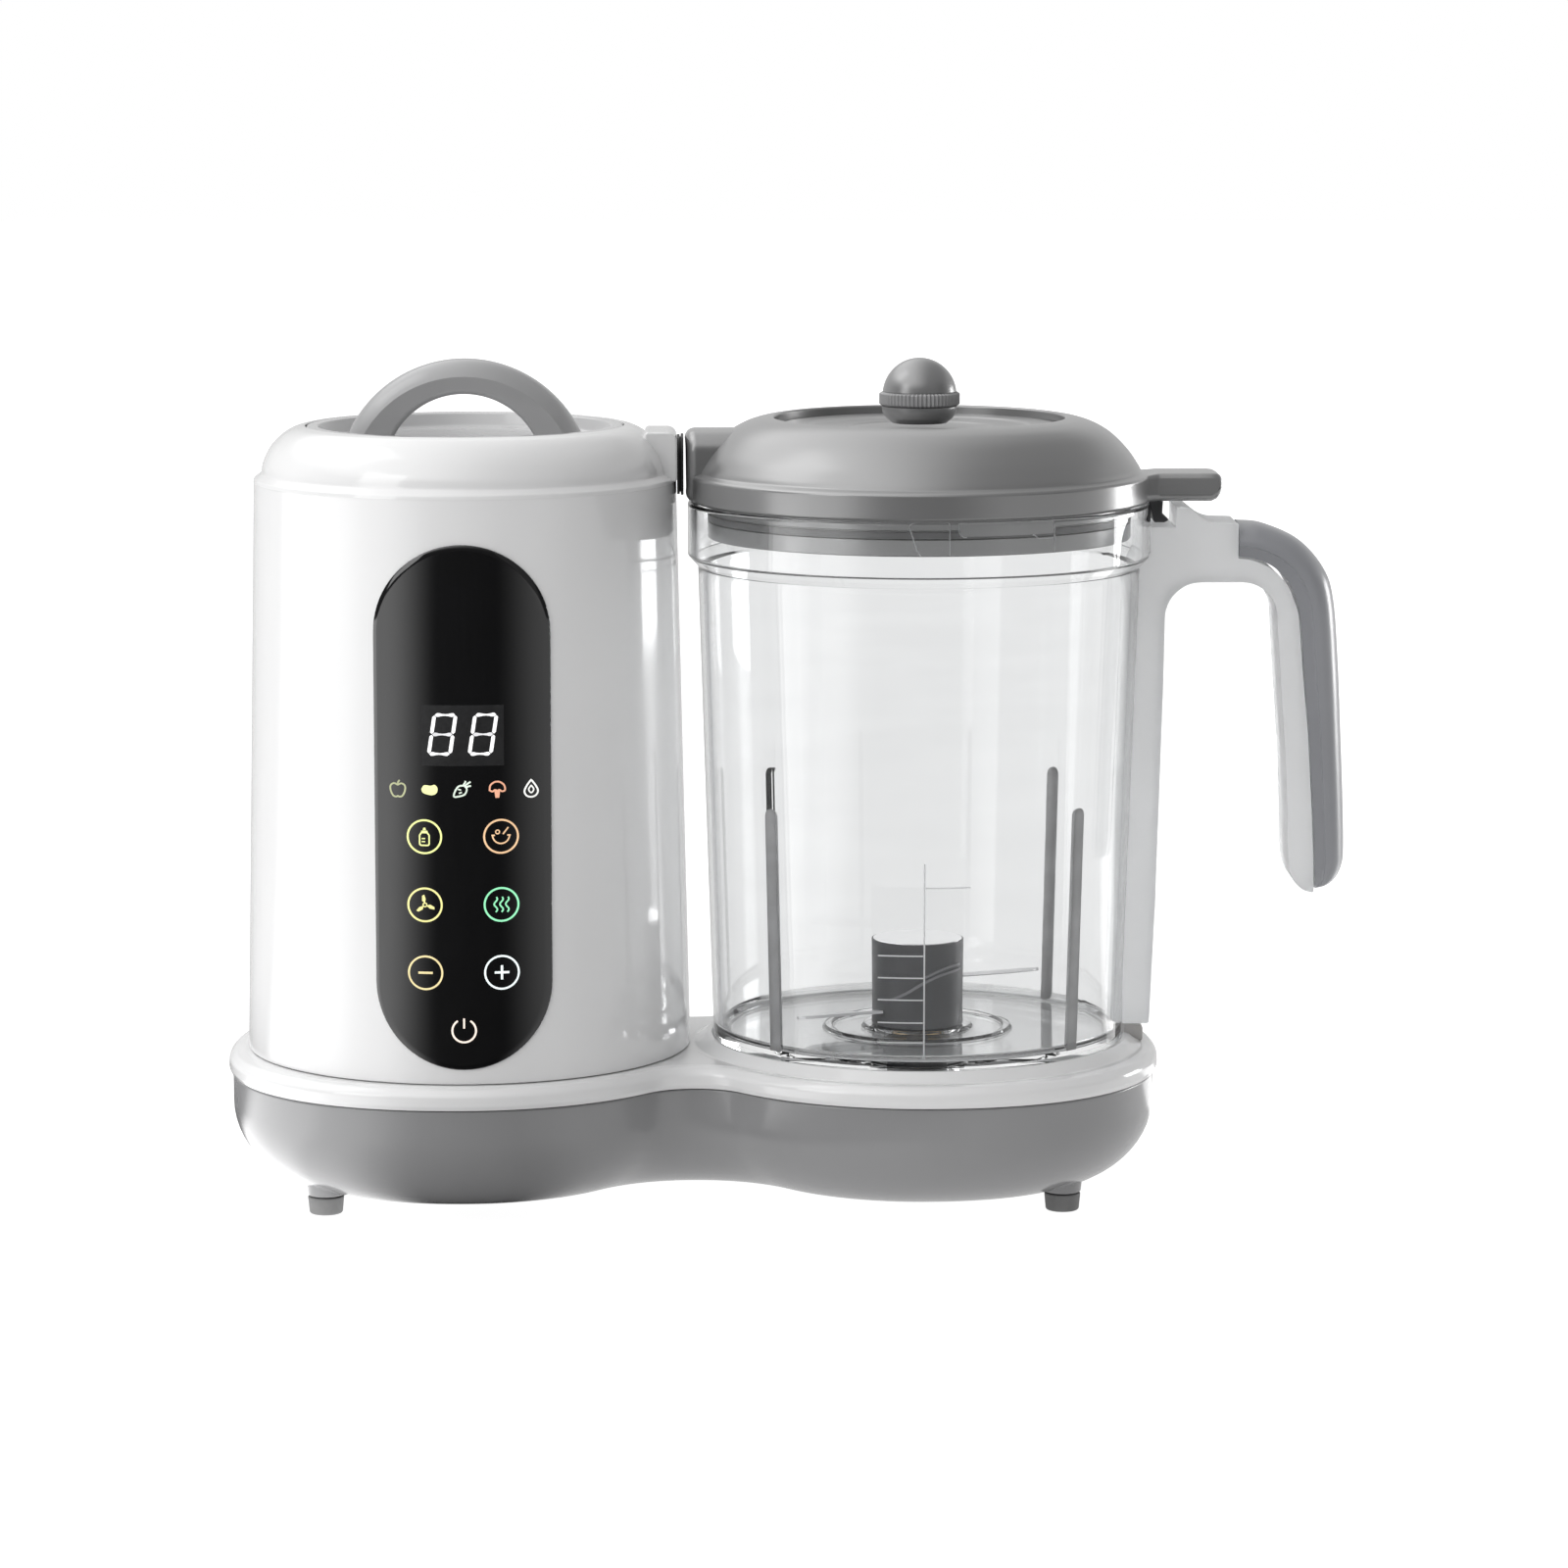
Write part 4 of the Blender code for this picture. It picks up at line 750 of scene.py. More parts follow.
def icon_bottle(mark):
    mark.stroke(fillet([(-1.25, -2.3, 0.5), (1.25, -2.3, 0.5), (1.25, 0.4, 0.5), (0.75, 1.1, 0.2),
                        (-0.75, 1.1, 0.2), (-1.25, 0.4, 0.5)]), 0.38, True)
    mark.fill([(-0.85, 1.25), (0.85, 1.25), (0.85, 1.6), (-0.85, 1.6)])
    mark.fill([(-0.45, 1.7), (0.45, 1.7), (0.25, 2.4), (-0.25, 2.4)])
    for level in (-1.3, -0.5):
        mark.stroke([(-0.7, level), (0.2, level)], 0.3)


def icon_bowl(mark):
    mark.stroke(arc((0, 0.3), 2.2, 180, 360, 20), 0.38)
    mark.stroke([(-2.5, 0.3), (2.5, 0.3)], 0.38)
    mark.stroke([(0.5, 0.6), (1.9, 2.4)], 0.38)
    mark.ring((-0.9, 1.2), 0.5, 0.3)


def icon_blades(mark):
    for turn in (90, 210, 330):
        spin = Matrix.Rotation(radians(turn), 2)
        blade = [(0.45, 0), (1.1, 0.75), (2.4, 0.75), (2.75, 0.2), (1.6, -0.2)]
        mark.fill([spin @ Vector(point) for point in blade])
    mark.ring((0, 0), 0.5, 0.3)


def icon_steam(mark):
    for shift in (-1.5, 0, 1.5):
        mark.stroke([(shift + 0.42 * sin(tau * number / 14), 0.2 * number - 2) for number in range(21)], 0.4)


def icon_minus(mark):
    mark.stroke([(0.38 * number - 1.9, 0) for number in range(11)], 0.6)


def icon_plus(mark):
    icon_minus(mark)
    for side in (1, -1):
        mark.stroke([(0, side * 0.32), (0, side * 1.9)], 0.6)


def make_prints():
    low, high = PANEL_PROUD - 0.05, PANEL_PROUD + 0.03
    material("display_film", (0.022, 0.022, 0.023), (0.30, 0.42), 0.1, 300)
    window = Print(on_panel, low, PANEL_PROUD + 0.012)
    window.sheet(10.7, 126.7, 142.8, 0.2)
    window.done("display_window", "display_film", "root")

    lit_material("lit_white", (1, 1, 1), 1.05)
    lit_material("lit_soft_white", (0.75, 0.75, 0.77), 0.8)
    digits, bars = Print(on_panel, low, high), Print(on_panel, low, high)
    for centre in ((-5.1, 135.05), (5.5, 135.05)):
        seven_segments(digits, centre, 11.3, 6.5, 0.95, 0.15, ("top", "bottom", "left_high", "left_low",
                                                               "right_high", "right_low"))
        seven_segments(bars, centre, 11.3, 6.5, 0.95, 0.15, ("middle",))
    digits.done("display_digits", "lit_white", "root")
    bars.done("display_bars", "lit_soft_white", "root")

    pictures = {"apple": (icon_apple, -16.9, (0.42, 0.44, 0.26)),
                "bean": (icon_bean, -8.6, (0.85, 0.87, 0.42)), "carrot": (icon_carrot, 0, (0.72, 0.83, 0.72)),
                "mushroom": (icon_mushroom, 9.1, (0.80, 0.40, 0.26)),
                "leaf": (icon_leaf, 17.9, (0.86, 0.87, 0.84))}
    for name, (draw, x, colour) in pictures.items():
        mark = Print(on_panel, low, high, (x, ICON_Z))
        draw(mark)
        lit_material("lit_" + name, colour, 0.95 if name == "leaf" else 0.9)
        mark.done("icon_" + name, "lit_" + name, "root")

    keys = {"key_bottle": (icon_bottle, -KEY_X, KEY_ROWS[0], (0.80, 0.86, 0.34)),
            "key_bowl": (icon_bowl, KEY_X, KEY_ROWS[0], (0.80, 0.52, 0.30)),
            "key_blades": (icon_blades, -KEY_X, KEY_ROWS[1], (0.82, 0.78, 0.32)),
            "key_steam": (icon_steam, KEY_X, KEY_ROWS[1], (0.30, 0.85, 0.48)),
            "key_minus": (icon_minus, -KEY_X, KEY_ROWS[2], (0.76, 0.64, 0.34)),
            "key_plus": (icon_plus, KEY_X, KEY_ROWS[2], (0.86, 0.97, 0.97))}
    for name, (draw, x, z, colour) in keys.items():
        mark = Print(on_panel, low, high, (x, z))
        mark.ring((0, 0), 4.4, 0.5)
        draw(mark)
        lit_material("lit_" + name, colour, 1)
        mark.done(name, "lit_" + name, "root")

    lit_material("lit_key_power", (0.95, 0.80, 0.70), 1)
    mark = Print(on_panel, low, high, (0, POWER_Z))
    mark.ring((0, 0), 3.1, 0.5, 122, 418)
    mark.stroke([(0, 0.6), (0, 3.3)], 0.5)
    mark.done("key_power", "lit_key_power", "root")


# Jug
JUG_WALL = 2.3
RIB_R = 1.9
RIB_TOP_Z = 111.8
RIB_TURNS = [radians(turn) for turn in (43.5, 136.5, 223.5, 316.5)]
CLEAR_RIB = RIB_TURNS[1]


def jug_outside(z):
    return 56.4 + (60.5 - 56.4) * (z - 44.5) / (175.2 - 44.5)


def on_jug(u, z, lift):
    """A point in front of the jug, u to the right of its middle and lift outside its wall."""
    radius = jug_outside(z)
    share = (radius + lift) / radius
    return (JUG_X + u * share, -sqrt(radius ** 2 - u ** 2) * share, z)


def jug_turns():
    """Even steps round the jug, with closer ones across each rib."""
    turns = [radians(2 * number) for number in range(180)]
    half = 2.3 / 54
    turns = [turn for turn in turns if all(abs(turn - rib) > half for rib in RIB_TURNS)]
    for rib in RIB_TURNS:
        turns += [rib + half * (number / 8 - 1) for number in range(17)]
    return sorted(turns)


def ribbed(radius, z, turn):
    """Push the inner wall inwards where a rib stands on it."""
    inner = jug_outside(z) - JUG_WALL
    if z > RIB_TOP_Z + 0.01 or z < 45 or abs(radius - inner) > 0.4:
        return radius
    height = RIB_R
    if z > RIB_TOP_Z - RIB_R:
        height = sqrt(max(0, RIB_R ** 2 - (z - RIB_TOP_Z + RIB_R) ** 2))
    away = (turn - CLEAR_RIB) * radius
    return radius - sqrt(height ** 2 - away ** 2) if abs(away) < height else radius


def make_jug():
    top, foot = RIM_TOP_Z, JUG_FOOT_Z
    inner = []
    rib_rows = [RIB_TOP_Z - RIB_R + RIB_R * sin(radians(angle)) for angle in (0, 20, 40, 55, 70, 80, 90)]
    for z in [47.4, 60, 80, 100] + rib_rows + [112.4, 140, 171]:
        inner.append((jug_outside(z) - JUG_WALL, z))
    profile = [(61, top, 0.7), (63.3, top, 0.9), (63.3, 176.6, 0.5), (60.5, 173.4, 0.6), (56.45, 44.5, 0.8),
               (55.2, foot, 0.5), (52.8, foot, 0.5), (52.3, 42.4, 0.4), (26.2, 42.4, 0.3), (25.8, 41.4, 0.3),
               (23.6, 41.4, 0.3), (23.2, 42.4, 0.3), (8.6, 42.4, 0.4), (8.6, 58, 0.2), (4.7, 58), (4.7, 60.2),
               (10.6, 60.2, 0.5), (10.6, 46.4, 0.8), (14.8, 46.2, 0.5), (15.4, 45.2, 0.4), (23.4, 45.2, 0.3),
               (23.8, 46, 0.3), (25.6, 46, 0.3), (26, 45.2, 0.3), (52, 45.2, 1.6)]
    profile += inner + [(58.25, 173.4, 0.6), (61, 176.6, 0.6)]
    jug = lathe("jug_shell", profile, JUG, shape=ribbed, turns=jug_turns())
    finish(jug, "clear_plastic", "jug_body", "jug")

    # Three ribs are separate solids in the grey rib look, painted shade for their refraction bars; the fourth
    # is moulded clear into the shell.
    for index, turn in enumerate(turn for turn in RIB_TURNS if turn != CLEAR_RIB):
        rings = []
        stations = [(45.4, 1), (60, 1), (80, 1), (RIB_TOP_Z - RIB_R, 1), (RIB_TOP_Z - 0.9, 0.85),
                    (RIB_TOP_Z - 0.3, 0.55), (RIB_TOP_Z, 0.15)]
        for z, share in stations:
            reach = jug_outside(z) - JUG_WALL - 0.03
            middle = Vector((reach * cos(turn), reach * sin(turn)))
            inward, side = -middle.normalized(), Vector((-sin(turn), cos(turn)))
            ring = []
            for angle in range(0, 181, 15):
                flat = (inward * sin(radians(angle)) + side * cos(radians(angle))) * RIB_R * share
                ring.append((JUG_X + middle.x + flat.x, middle.y + flat.y, z))
            rings.append(ring)
        finish(loft(f"jug_rib_{index + 1}", rings, 50), "rib_plastic", "jug_body")

    marks = Print(on_jug, -0.02, 0.14)
    line_x = -0.8
    marks.stroke([(line_x, 47), (line_x, 70), (line_x, 99.8)], 0.42)
    for level in (51.2, 56.6, 62.8, 68.8, 74.8):
        marks.stroke([(line_x - 0.3 - 1.2 * number, level) for number in range(11)], 0.36)
    marks.stroke([(line_x + 0.3 + 1.2 * number, 93.2) for number in range(11)], 0.36)
    marks.done("fill_marks", "frosted_plastic", "jug_body", slot="clear_plastic")


def make_jug_frame():
    """Frosted strip on the jug's side, the root, and the inner side of the D."""
    outline = [(56, 47.3), (63.4, 47.3, 0.8), (64.8, 80, 20), (66.4, 140, 20), (66.9, 169.4, 9.8),
               (96.7, 169.4, 9.6), (98.4, 144, 40), (100.3, 119, 40), (101.2, 93.5, 6), (101.6, 90, 4),
               (102.9, 86.7, 4), (105.4, 84.3, 4), (108.4, 83.6, 0.5), (108.2, 92, 20), (107.5, 107, 40),
               (106.2, 127.6, 40), (104.6, 144, 30), (103.2, 161, 14), (100.2, 168.7, 12), (96, 173.2, 12),
               (90.9, 175.5, 12), (86.5, 176), (86.5, 185.5), (78, 185.8, 8), (72.8, 189.9, 1.5),
               (69.4, 189.9, 0.3), (69.4, 184.6), (56, 184.6)]
    frame_piece = plate("jug_frame", [(JUG_X + x, z) for x, z in fillet(outline, step=6)], -11, 11, "Y", 2, 5)
    gap = 0.15
    envelope = [(0, 195), (63.3 + gap, 195), (63.3 + gap, 177.6), (61.3 + gap, 177.2), (60.5 + gap, 175.2),
                (56.4 + gap, 44), (0, 44)]
    combined(frame_piece, lathe("jug_envelope", envelope, JUG, 240))
    finish(frame_piece, "frosted_plastic", "jug_body", "jug_handle")


def make_grip():
    """The grip: a rounded section from the seam to the outer edge, swept round the bend and down the leg."""
    seam = [(86.9, 176.4), (91, 175.9), (96.2, 173.6), (100.6, 169), (103.6, 161), (105, 144), (106.6, 127.6),
            (107.9, 107), (108.6, 94), (108.7, 90.4), (108.8, 87.6), (108.85, 85.6), (108.85, 84.5)]
    edge = [(86.9, 185.5), (94, 184.7), (103.8, 180.3), (110.8, 172.6), (113.7, 164), (115.2, 147),
            (116.1, 130), (117.1, 109), (117.5, 95), (117.1, 90.6), (115.6, 87.2), (113.2, 85.2),
            (109.6, 84.4)]
    steps = 10
    seam, edge = spline(seam, steps), spline(edge, steps)
    rings = []
    for index, (near, far) in enumerate(zip(seam, edge)):
        near, far = Vector(near), Vector(far)
        half = 11 - 3.4 * max(0, (index - len(seam) + 25) / 24) ** 3
        across = 0.30
        front = [(0, -0.94), (across - 0.06, -0.94), (across, -0.96), (across + 0.03, -1)]
        front += [(across + 0.03 + (0.97 - across) * sin(radians(angle)),
                   -cos(radians(angle)) ** 0.92) for angle in range(8, 90, 8)]
        ring = []
        for share, side in front + [(1, 0)] + [(share, -side) for share, side in reversed(front)]:
            point = near + (far - near) * share
            ring.append((JUG_X + point.x, half * side, point.y))
        rings.append(ring)
    finish(loft("grip_insert", rings, 24), "insert_plastic", "jug_body", "handle_insert")


# Blades
def make_blades():
    low, high = heights("blade_hub")
    hub = [(0, high - 0.9), (12.2, high - 0.9), (12.4, high - 0.1, 0.1), (12.7, high - 0.3, 0.1),
           (12.5, low + 3, 0.5), (12.7, low, 0.6), (11.1, low), (11.1, 63), (2.9, 63), (2.9, 66.2), (0, 66.2)]
    finish(lathe("blade_tower", hub, JUG, 96), "dark_plastic", "blades", "blade_hub")
    disc = [(0, high - 0.02), (2, high - 0.02, 0.3), (2.6, high - 0.12, 0.2), (12.1, high - 0.02, 0.1),
            (12.3, high - 0.12, 0.1), (12.3, high - 0.6), (0, high - 0.6)]
    finish(lathe("hub_disc", disc, JUG, 96), "polished_steel", "blades")

    def on_hub(start):
        def surface(u, z, lift):
            turn = start + u / 12.6
            return (JUG_X + (12.6 + lift) * cos(turn), (12.6 + lift) * sin(turn), z)
        return surface

    for index, start in enumerate((-pi / 2, pi / 2)):
        mark = Print(on_hub(start), -0.3, 0)
        mark.high = 0.55
        mark.stroke(spline([(-7.6, 54.4), (-3.5, 56.4), (1, 59.2), (6, 61.3), (13.5, 62.4)], 6), 0.7)
        mark.stroke(spline([(1.5, 60.9), (5, 62.4), (9, 63.4), (13.5, 63.6)], 6), 0.6)
        mark.done(f"hub_flute_{index + 1}", "flute_plastic", "blades")

    turn = Matrix.Rotation(radians(20), 3, "Z")
    pitch = Matrix.Rotation(radians(-8), 3, "X")
    for node, side in (("blade_lower", -1), ("blade_upper", 1)):
        middle = (low_z(node) + high_z(node)) / 2
        reach = 37 if side < 0 else 38.6
        back = spline([(12.2, 4.9), (20, 4.6), (29, 4.9), (reach - 3, 5.4), (reach, 3)], 6)
        edge = spline([(12.2, -4.4), (20, -4.4), (29, -3.6), (reach - 3, -0.6), (reach, 3)], 6)
        rings = []
        for (bx, by), (ex, ey) in zip(back, edge):
            back_point, edge_point = Vector((bx, by, 0)), Vector((ex, ey, 0))
            ring = []
            for share, height in ((0, -0.4), (0.72, -0.4), (1, -0.06), (1, 0.02), (0.72, 0.4), (0, 0.4)):
                point = back_point.lerp(edge_point, share)
                point = pitch @ Vector((side * point.x, side * point.y, height))
                point = turn @ point
                ring.append((JUG_X + point.x, point.y, middle + point.z))
            rings.append(ring)
        finish(loft(node + "_ground", rings[:-1], 20), "steel", "blades", node)


# Lid
def make_lid():
    low = FLANGE_LOW_Z
    dome = spline([(60.6, 199.3), (59.6, 201.2), (56.9, 205.1), (52.6, 209.4), (48.4, 212), (44.5, 213.4),
                   (41.2, LID_TOP_Z)], 6)
    profile = [(57.2, low), (62.3, low, 0.4), (62.8, low + 0.7, 0.5), (62.8, 198.4, 1.1),
               (61, 199.1, 0.5)] + dome
    profile += [(39.7, LID_TOP_Z, 0.6), (39.6, 209.8, 0.3), (30.2, 209.8), (30.2, 207.8), (41.2, 207.8),
                (41.2, 211.7), (48, 209.8), (53.2, 205.5), (57.2, 199)]
    finish(lathe("lid_dome", profile, JUG, 240), "lid_plastic", "lid", "lid_shell")

    rings = []
    for reach, inset in ((64.1, 2.3), (63.95, 1.5), (63.4, 0.7), (62.6, 0.2), (61.6, 0), (50, 0)):
        half, bottom, top = 10.5 - inset, low + inset, 210.7 - inset
        outline = fillet([(-half, bottom, 2), (half, bottom, 2), (half, top, 5.5), (-half, top, 5.5)])
        rings.append([(JUG_X - sqrt(reach ** 2 - y ** 2), y, z) for y, z in outline])
    block = loft("steam_duct", rings)
    combined(block, plate("duct_bore", [(y, z) for y, z in arc((0, 203.5), 4, 0, 342, 19)], JUG_X - 70,
                          JUG_X - 60, "X"))
    finish(block, "lid_plastic", "lid")

    rings = []
    tab_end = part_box("lid_shell")[1].x / MM - JUG_X
    sections = [(55, 17.5, 191.5, 198.3), (58.5, 14.8, 191.5, 198.5), (61.5, 12.3, 191.4, 198.9),
                (63.8, 10.6, 191.4, 199.2), (64.6, 10, 191.4, 199.35), (65.2, 9.9, 191.4, 199.4),
                (76, 9.9, 191.4, 199.4), (tab_end - 3, 9.9, 191.4, 199.4), (tab_end - 1.4, 9.6, 192.1, 199.2),
                (tab_end - 0.5, 9.1, 193.3, 198.7), (tab_end - 0.1, 8.4, 194.5, 198),
                (tab_end, 7.6, 195.4, 197.4)]
    for x, half, bottom, top in sections:
        corners = [(-half, bottom + 1, 1.4), (-half + 2.2, bottom, 1.6), (half - 2.2, bottom, 1.6),
                   (half, bottom + 1, 1.4), (half - 1.4, top - 0.4, 1.8), (1.4 - half, top - 0.4, 1.8)]
        outline = fillet(corners, step=15)
        rings.append([(JUG_X + x, y, z) for y, z in outline])
    finish(loft("lid_tab", rings, 45), "lid_plastic", "lid")

    hook = fillet([(62.6, 191.2), (66.4, 191.2), (66.2, 187.6, 0.8), (68.2, 186, 0.4), (66.8, 185.3, 0.3),
                   (64, 185.3, 0.5)])
    finish(plate("lid_catch", [(JUG_X + x, z) for x, z in hook], -5, 5, "Y", 0.4, 3), "dark_plastic", "lid",
           "lid_hook")


def make_skirt():
    skirt_low = low_z("lid_skirt")
    profile = [(57.7, 191), (57.8, 188.6), (56.9, 188.4, 0.1), (56.9, 186.2, 0.1), (57.8, 186, 0.1),
               (57.8, skirt_low, 0.5), (55.6, skirt_low, 0.5), (55.6, 191)]
    finish(lathe("lid_collar", profile, JUG, 240), "lid_plastic", "lid", "lid_skirt")

    def on_collar(u, z, lift):
        radius = 57.75 + lift
        return (JUG_X + radius * sin(u / 57.8), -radius * cos(u / 57.8), z)

    # Painted highlight: light strokes along the bayonet edges of the grey collar; the edges are real, their
    # light colour paints in the light that they catch.
    lines = Print(on_collar, -0.05, 0.12)
    half_turn = pi * 57.8
    for start in (0, half_turn):
        lines.stroke([(start - 5.6, 190.6), (start - 4.4, 187.2), (start - 3.2, 183.4), (start - 2.2, 181.9)],
                     0.36)
        lines.stroke([(start + 5.4, 190.6), (start + 5.4, 181.9)], 0.28)
        lines.stroke([(start + 35.4, 190.6), (start + 35.4, 181.9)], 0.34)
        corner = fillet([(start + 7.8, 190.6), (start + 7.8, 186.7, 1.8), (start + 29, 186.7, 0.8),
                         (start + 30.2, 185.7, 0.8), (start + 35.2, 185.7)], closed=False)
        lines.stroke(corner, 0.3)
    lines.done("collar_painted_highlight_lines", "frosted_plastic", "lid", slot="grey_plastic")
    ramp = Print(on_collar, -0.05, 0.10)
    for start in (0, half_turn):
        values = [start + 8.1 + 27 * number / 24 for number in range(25)]
        ramp.band([(u, 190.5) for u in values], [(u, 186.9) for u in values], False)
    ramp.done("collar_ramp", "lid_plastic", "lid")

    low, high = heights("lid_gasket")
    ring = [(56.9, low), (57.83, low + 0.02, 0.06), (57.83, high - 0.02, 0.06), (56.9, high)]
    finish(lathe("lid_seal", ring, JUG, 240), "grey_silicone", "lid_ring", "lid_gasket")


def make_feed_cap():
    top = high_z("feed_cap")
    face = [(0, top - 1.3), (9, top - 1.3, 1), (19, top - 1.1, 1), (20, top - 0.7, 0.5), (29.5, top - 0.6, 1),
            (30.5, top - 0.2, 0.5), (36.6, top, 1), (38.6, top - 0.3, 0.5), (38.8, top - 1.9, 0.3),
            (29.9, top - 1.9), (29.9, 205, 0.5), (27.9, 205, 0.5), (27.9, 209.2), (0, 209.2)]
    finish(lathe("cap_disc", face, JUG, 200), "lid_plastic", "cap", "feed_cap")


def make_knob():
    material("knob_plastic", (0.19, 0.19, 0.193), (0.285, 0.33), 0.02, 60, 3000, 0.00001,
             Specular_IOR_Level=1, IOR=1.7, Coat_Weight=0.6, Coat_Roughness=0.2)
    ring_low, ring_high = heights("knob_ring")
    ball_z = 219.9
    ball_r = high_z("knob_cap") - ball_z
    top_z, bottom_z = ring_high + 0.1, ring_low - 0.1
    start = degrees(asin((top_z - ball_z) / ball_r))
    dome = arc((0, ball_z), ball_r, 90, start, 18)
    finish(lathe("knob_dome", dome + [(0, top_z)], JUG, 96), "knob_plastic", "knob", "knob_cap")
    stem_low = low_z("knob_stem")
    bowl = spline([(10.3, bottom_z), (10.25, 216), (9.9, 214.9), (9, 213.6), (7.4, stem_low)], 5)
    finish(lathe("knob_bowl", [(0, bottom_z)] + bowl + [(0, stem_low)], JUG, 96), "knob_plastic", "knob",
           "knob_stem")

    ridges = 60
    turns = [tau * number / (ridges * 8) for number in range(ridges * 8)]

    def knurled(radius, z, turn):
        if radius < 10:
            return radius
        return radius - 0.42 * (0.5 - 0.5 * cos(turn * ridges)) ** 0.6

    band = [(4.8, ring_low), (10.2, ring_low, 0.2), (11, ring_low + 0.5, 0.2), (11, ring_high - 0.5, 0.2),
            (10.2, ring_high, 0.2), (4.8, ring_high)]
    material("knurl_plastic", (0.36, 0.36, 0.365), (0.285, 0.33), 0.02, 60, 3000, 0.00001)
    finish(lathe("knob_grip", band, JUG, shape=knurled, turns=turns), "knurl_plastic", "knob", "knob_ring")


def make_boss():
    low, high = corners_of("interlock_boss")
    outline = fillet([(low.x, low.z), (high.x, low.z), (high.x, high.z, 1), (low.x, high.z, 1)])
    boss = plate("strip_boss", outline, low.y, high.y, "Y", 0.5, 3)
    combined(boss, bore("boss_bore", 1.7, 38, 50, PLUNGER, 32))
    finish(boss, "beige_plastic", "root", "interlock_boss")


def make_spring():
    """The interlock's coil spring, at one fixed length; in the machine it shortens as the jug presses the
    plunger down.
    """
    wire, coils, steps = 0.28, 3, 24
    low, high = corners_of("interlock_spring")
    coil = (high.y - low.y) / 2 - wire
    rings = []
    for step in range(coils * steps + 1):
        share = step / (coils * steps)
        turn = tau * coils * share
        rise = low.z + wire + (high.z - low.z - 2 * wire) * share
        section = arc((coil, rise), wire, 0, 324, 9)
        rings.append([(PLUNGER[0] + reach * cos(turn), reach * sin(turn), z) for reach, z in section])
    spring = loft("spring_coil", rings)
    finish(spring, "steel", "root", "interlock_spring")
    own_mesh(spring)


# Studio
def area_light(name, location, target, size, power):
    lamp = bpy.data.lights.new(name, "AREA")
    lamp.shape = "RECTANGLE"
    lamp.size, lamp.size_y = size
    lamp.energy = power
    obj = bpy.data.objects.new(name, lamp)
    obj.location = location
    obj.rotation_euler = (Vector(target) - Vector(location)).to_track_quat("-Z", "Y").to_euler()
    bpy.context.scene.collection.objects.link(obj)


def make_world():
    """White to the lens; towards the lens's side dark for everything that mirrors or bends light."""
    world = bpy.data.worlds.new("studio")
    bpy.context.scene.world = world
    world.use_nodes = True
    tree = world.node_tree
    way = shade(tree, "SeparateXYZ", {"Vector": shade(tree, "TexCoord").outputs["Generated"]}).outputs
    path = shade(tree, "LightPath").outputs
    bent = path["Is Transmission Ray"]
    depth = calculated(tree, "MULTIPLY", mapped(tree, way["Y"], 0, 1, -0.25, 0.45),
                       mapped(tree, bent, 0.64, 1, 0, 1))
    depth = calculated(tree, "MAXIMUM", depth, calculated(tree, "MULTIPLY", bent, 0.55))
    sides = colour_mix(tree, depth, (0.10, 0.10, 0.10), (0.90, 0.90, 0.90))
    across = mapped(tree, way["X"], 0, 1, -0.45, 0.45)
    ceiling = colour_mix(tree, across, (1.8, 1.8, 1.8), (0.30, 0.30, 0.30))
    tone = colour_mix(tree, mapped(tree, way["Z"], 0, 1, 0.35, 0.60), sides, ceiling)
    seen = colour_mix(tree, path["Is Camera Ray"], tone, (1, 1, 1))
    tree.links.new(seen, tree.nodes["Background"].inputs["Color"])


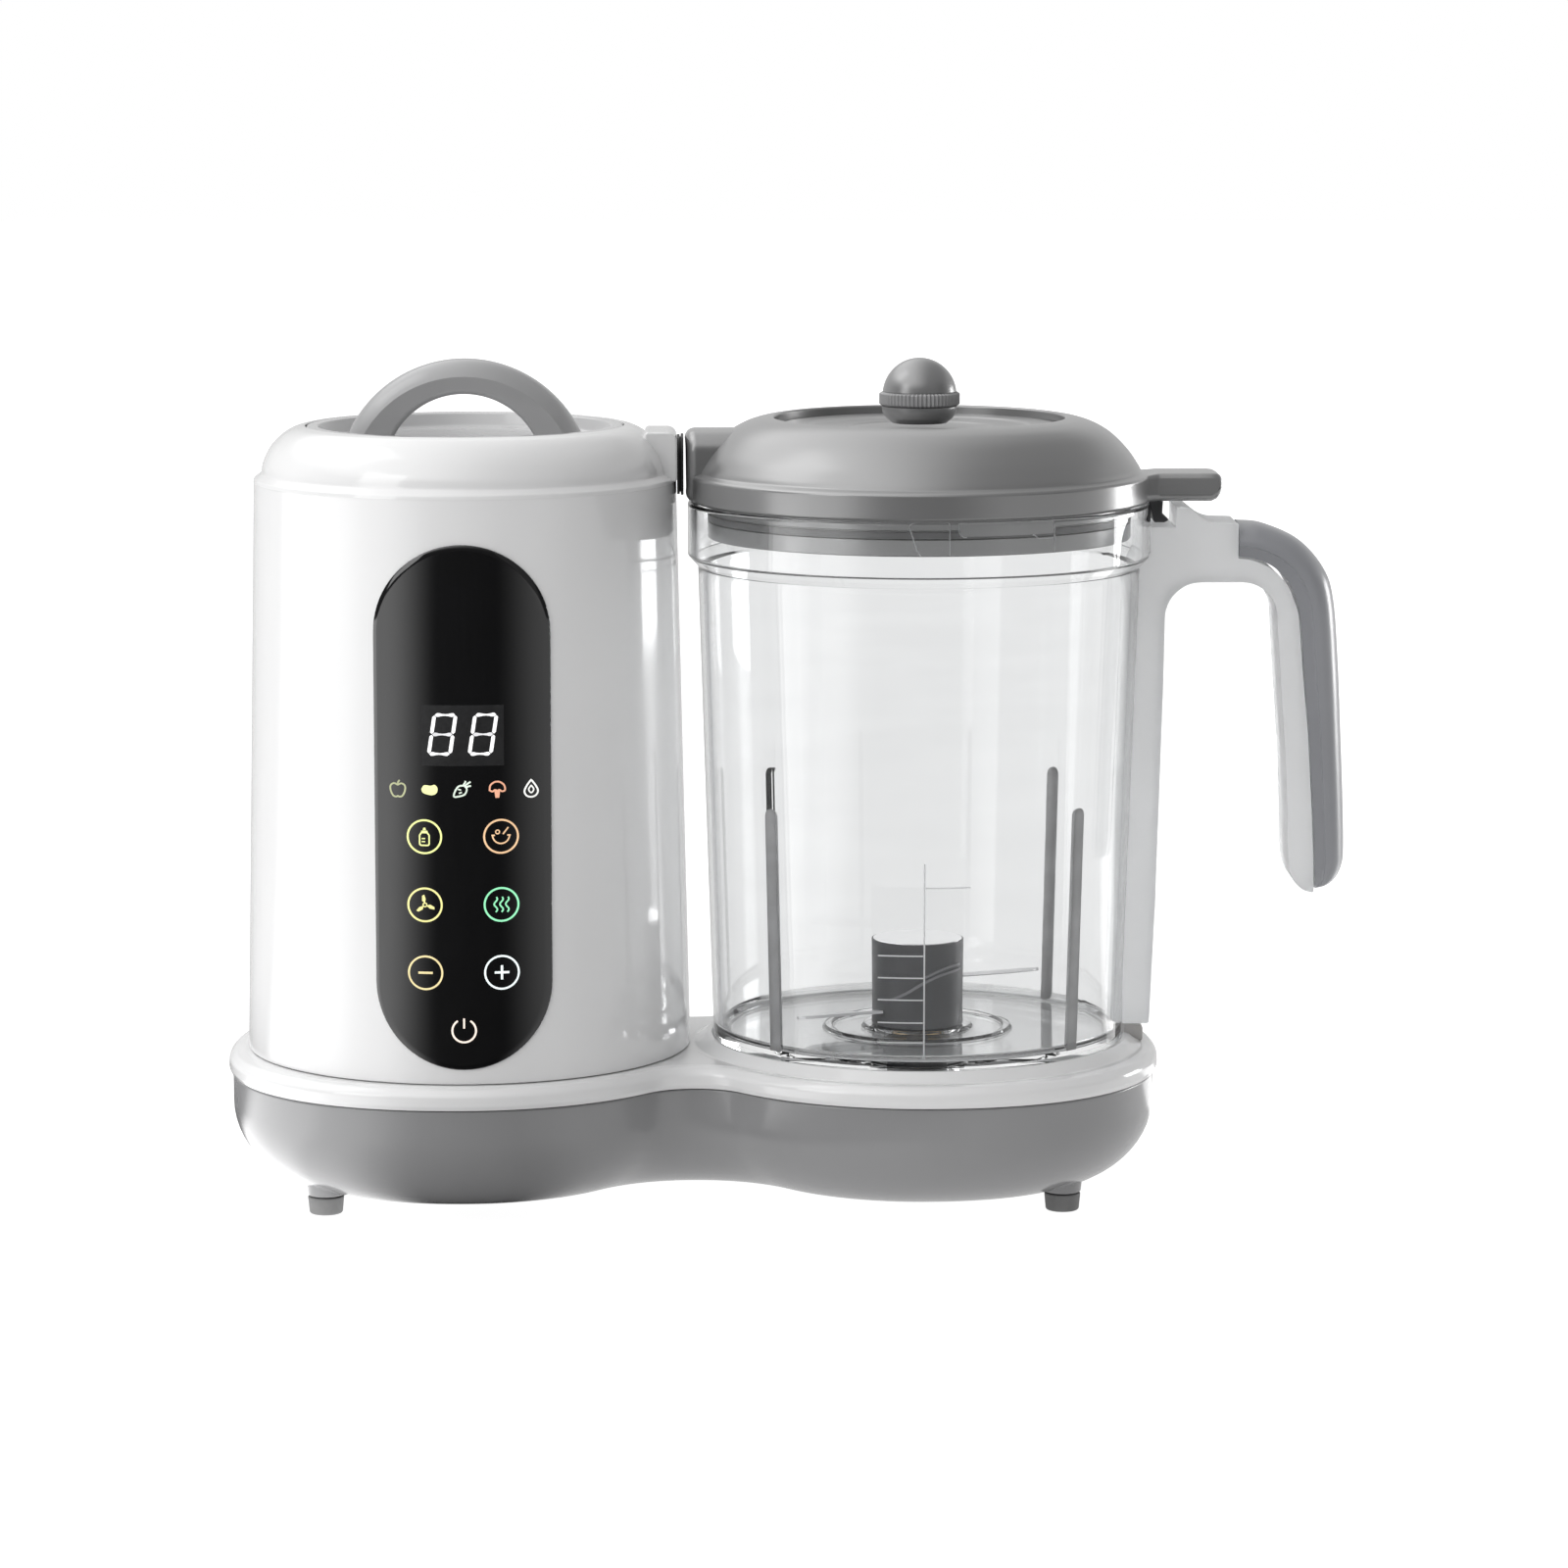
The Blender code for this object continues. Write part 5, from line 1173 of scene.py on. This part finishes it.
def make_floor():
    """Pure white to the lens; to mirrored and bent light pale behind the object and dim in front of it."""
    work = bmesh.new()
    bmesh.ops.create_grid(work, x_segments=2, y_segments=2, size=6000)
    bmesh.ops.translate(work, vec=(0, 0, -0.1), verts=work.verts)
    floor = new_object("studio_floor", work)
    look = material("pale_floor", (0.30, 0.30, 0.30), (0.6, 0.8), 0.01, 3, 60, 0.00001)
    tree = look.node_tree
    shader = tree.nodes["Principled BSDF"]
    place = shade(tree, "SeparateXYZ", {"Vector": shade(tree, "TexCoord").outputs["Object"]}).outputs
    path = shade(tree, "LightPath").outputs
    bent, spread = path["Is Transmission Ray"], path["Is Diffuse Ray"]
    turn = calculated(tree, "ARCTAN2", calculated(tree, "SUBTRACT", place["X"], TOWER_X * MM),
                      calculated(tree, "MULTIPLY", place["Y"], -1))

    def sector(low, high, start, end, angle=turn):
        """A glow that goes from low to high between two angles round the tower."""
        return mapped(tree, angle, low, high, radians(start), radians(end))

    def larger(one, two):
        return calculated(tree, "MAXIMUM", one, two)

    def smaller(one, two):
        return calculated(tree, "MINIMUM", one, two)

    behind = calculated(tree, "MULTIPLY", mapped(tree, place["Y"], 0.005, 0.80, 0.06, 0.30),
                        mapped(tree, bent, 0.62, 1, 0, 1))
    reach = calculated(tree, "SUBTRACT", turn, calculated(tree, "MULTIPLY", spread, 0.75))
    left = smaller(larger(sector(1.4, 0, -42, -12), sector(2.2, 0, -68, -36)),
                   sector(0, 2.2, -122, -104, reach))
    streak = larger(smaller(sector(0, 1.8, 107, 111), sector(1.8, 0, 119, 124)), sector(0, 0.6, 16, 46))
    bounce = larger(mapped(tree, spread, 0, 0.30, 0, 1), calculated(tree, "MULTIPLY", bent, 0.5))
    glow = shade(tree, "Mix", {0: path["Is Camera Ray"], 2: larger(larger(behind, left),
                                                                   larger(streak, bounce)), 3: 0.95})
    base = colour_mix(tree, path["Is Glossy Ray"], (0.30, 0.30, 0.30), (0.01, 0.01, 0.01))
    tree.links.new(base, shader.inputs["Base Color"])
    tree.links.new(glow.outputs[0], shader.inputs["Emission Strength"])
    shader.inputs["Emission Color"].default_value = (1, 1, 1, 1)
    floor.data.materials.append(look)


def make_camera():
    azimuth, elevation = radians(-1.2), radians(8.5)
    target = Vector((-0.0006, 0, 0.1127))
    distance = 1.4863
    away = Vector((sin(azimuth) * cos(elevation), -cos(azimuth) * cos(elevation), sin(elevation)))
    data = bpy.data.cameras.new("camera")
    data.lens = 123.9
    data.sensor_width = 36
    camera = bpy.data.objects.new("camera", data)
    camera.location = target + away * distance
    camera.rotation_euler = (-away).to_track_quat("-Z", "Y").to_euler()
    bpy.context.scene.collection.objects.link(camera)
    bpy.context.scene.camera = camera


def make_studio():
    make_camera()
    make_world()
    make_floor()
    area_light("key_left", (-1.22, -1.05, 0.75), (-0.03, 0, 0.12), (0.7, 0.85), 4.2)
    area_light("top_left", (-0.80, 0.05, 1.15), (0, 0, 0.15), (0.6, 0.6), 1.2)
    area_light("rim_right", (1.30, 0.72, 0.22), (0, 0, 0.12), (0.45, 0.44), 4)
    area_light("fill_right", (1.10, -1.15, 0.55), (0.05, 0, 0.10), (0.9, 0.9), 0.3)
    bpy.context.scene.view_settings.view_transform = "Standard"


make_studio()
make_base()
make_feet()
make_tower()
make_well()
make_warmer_cover()
make_warmer_arch()
make_panel()
make_prints()
make_jug()
make_jug_frame()
make_grip()
make_blades()
make_lid()
make_skirt()
make_feed_cap()
make_knob()
make_boss()
make_spring()
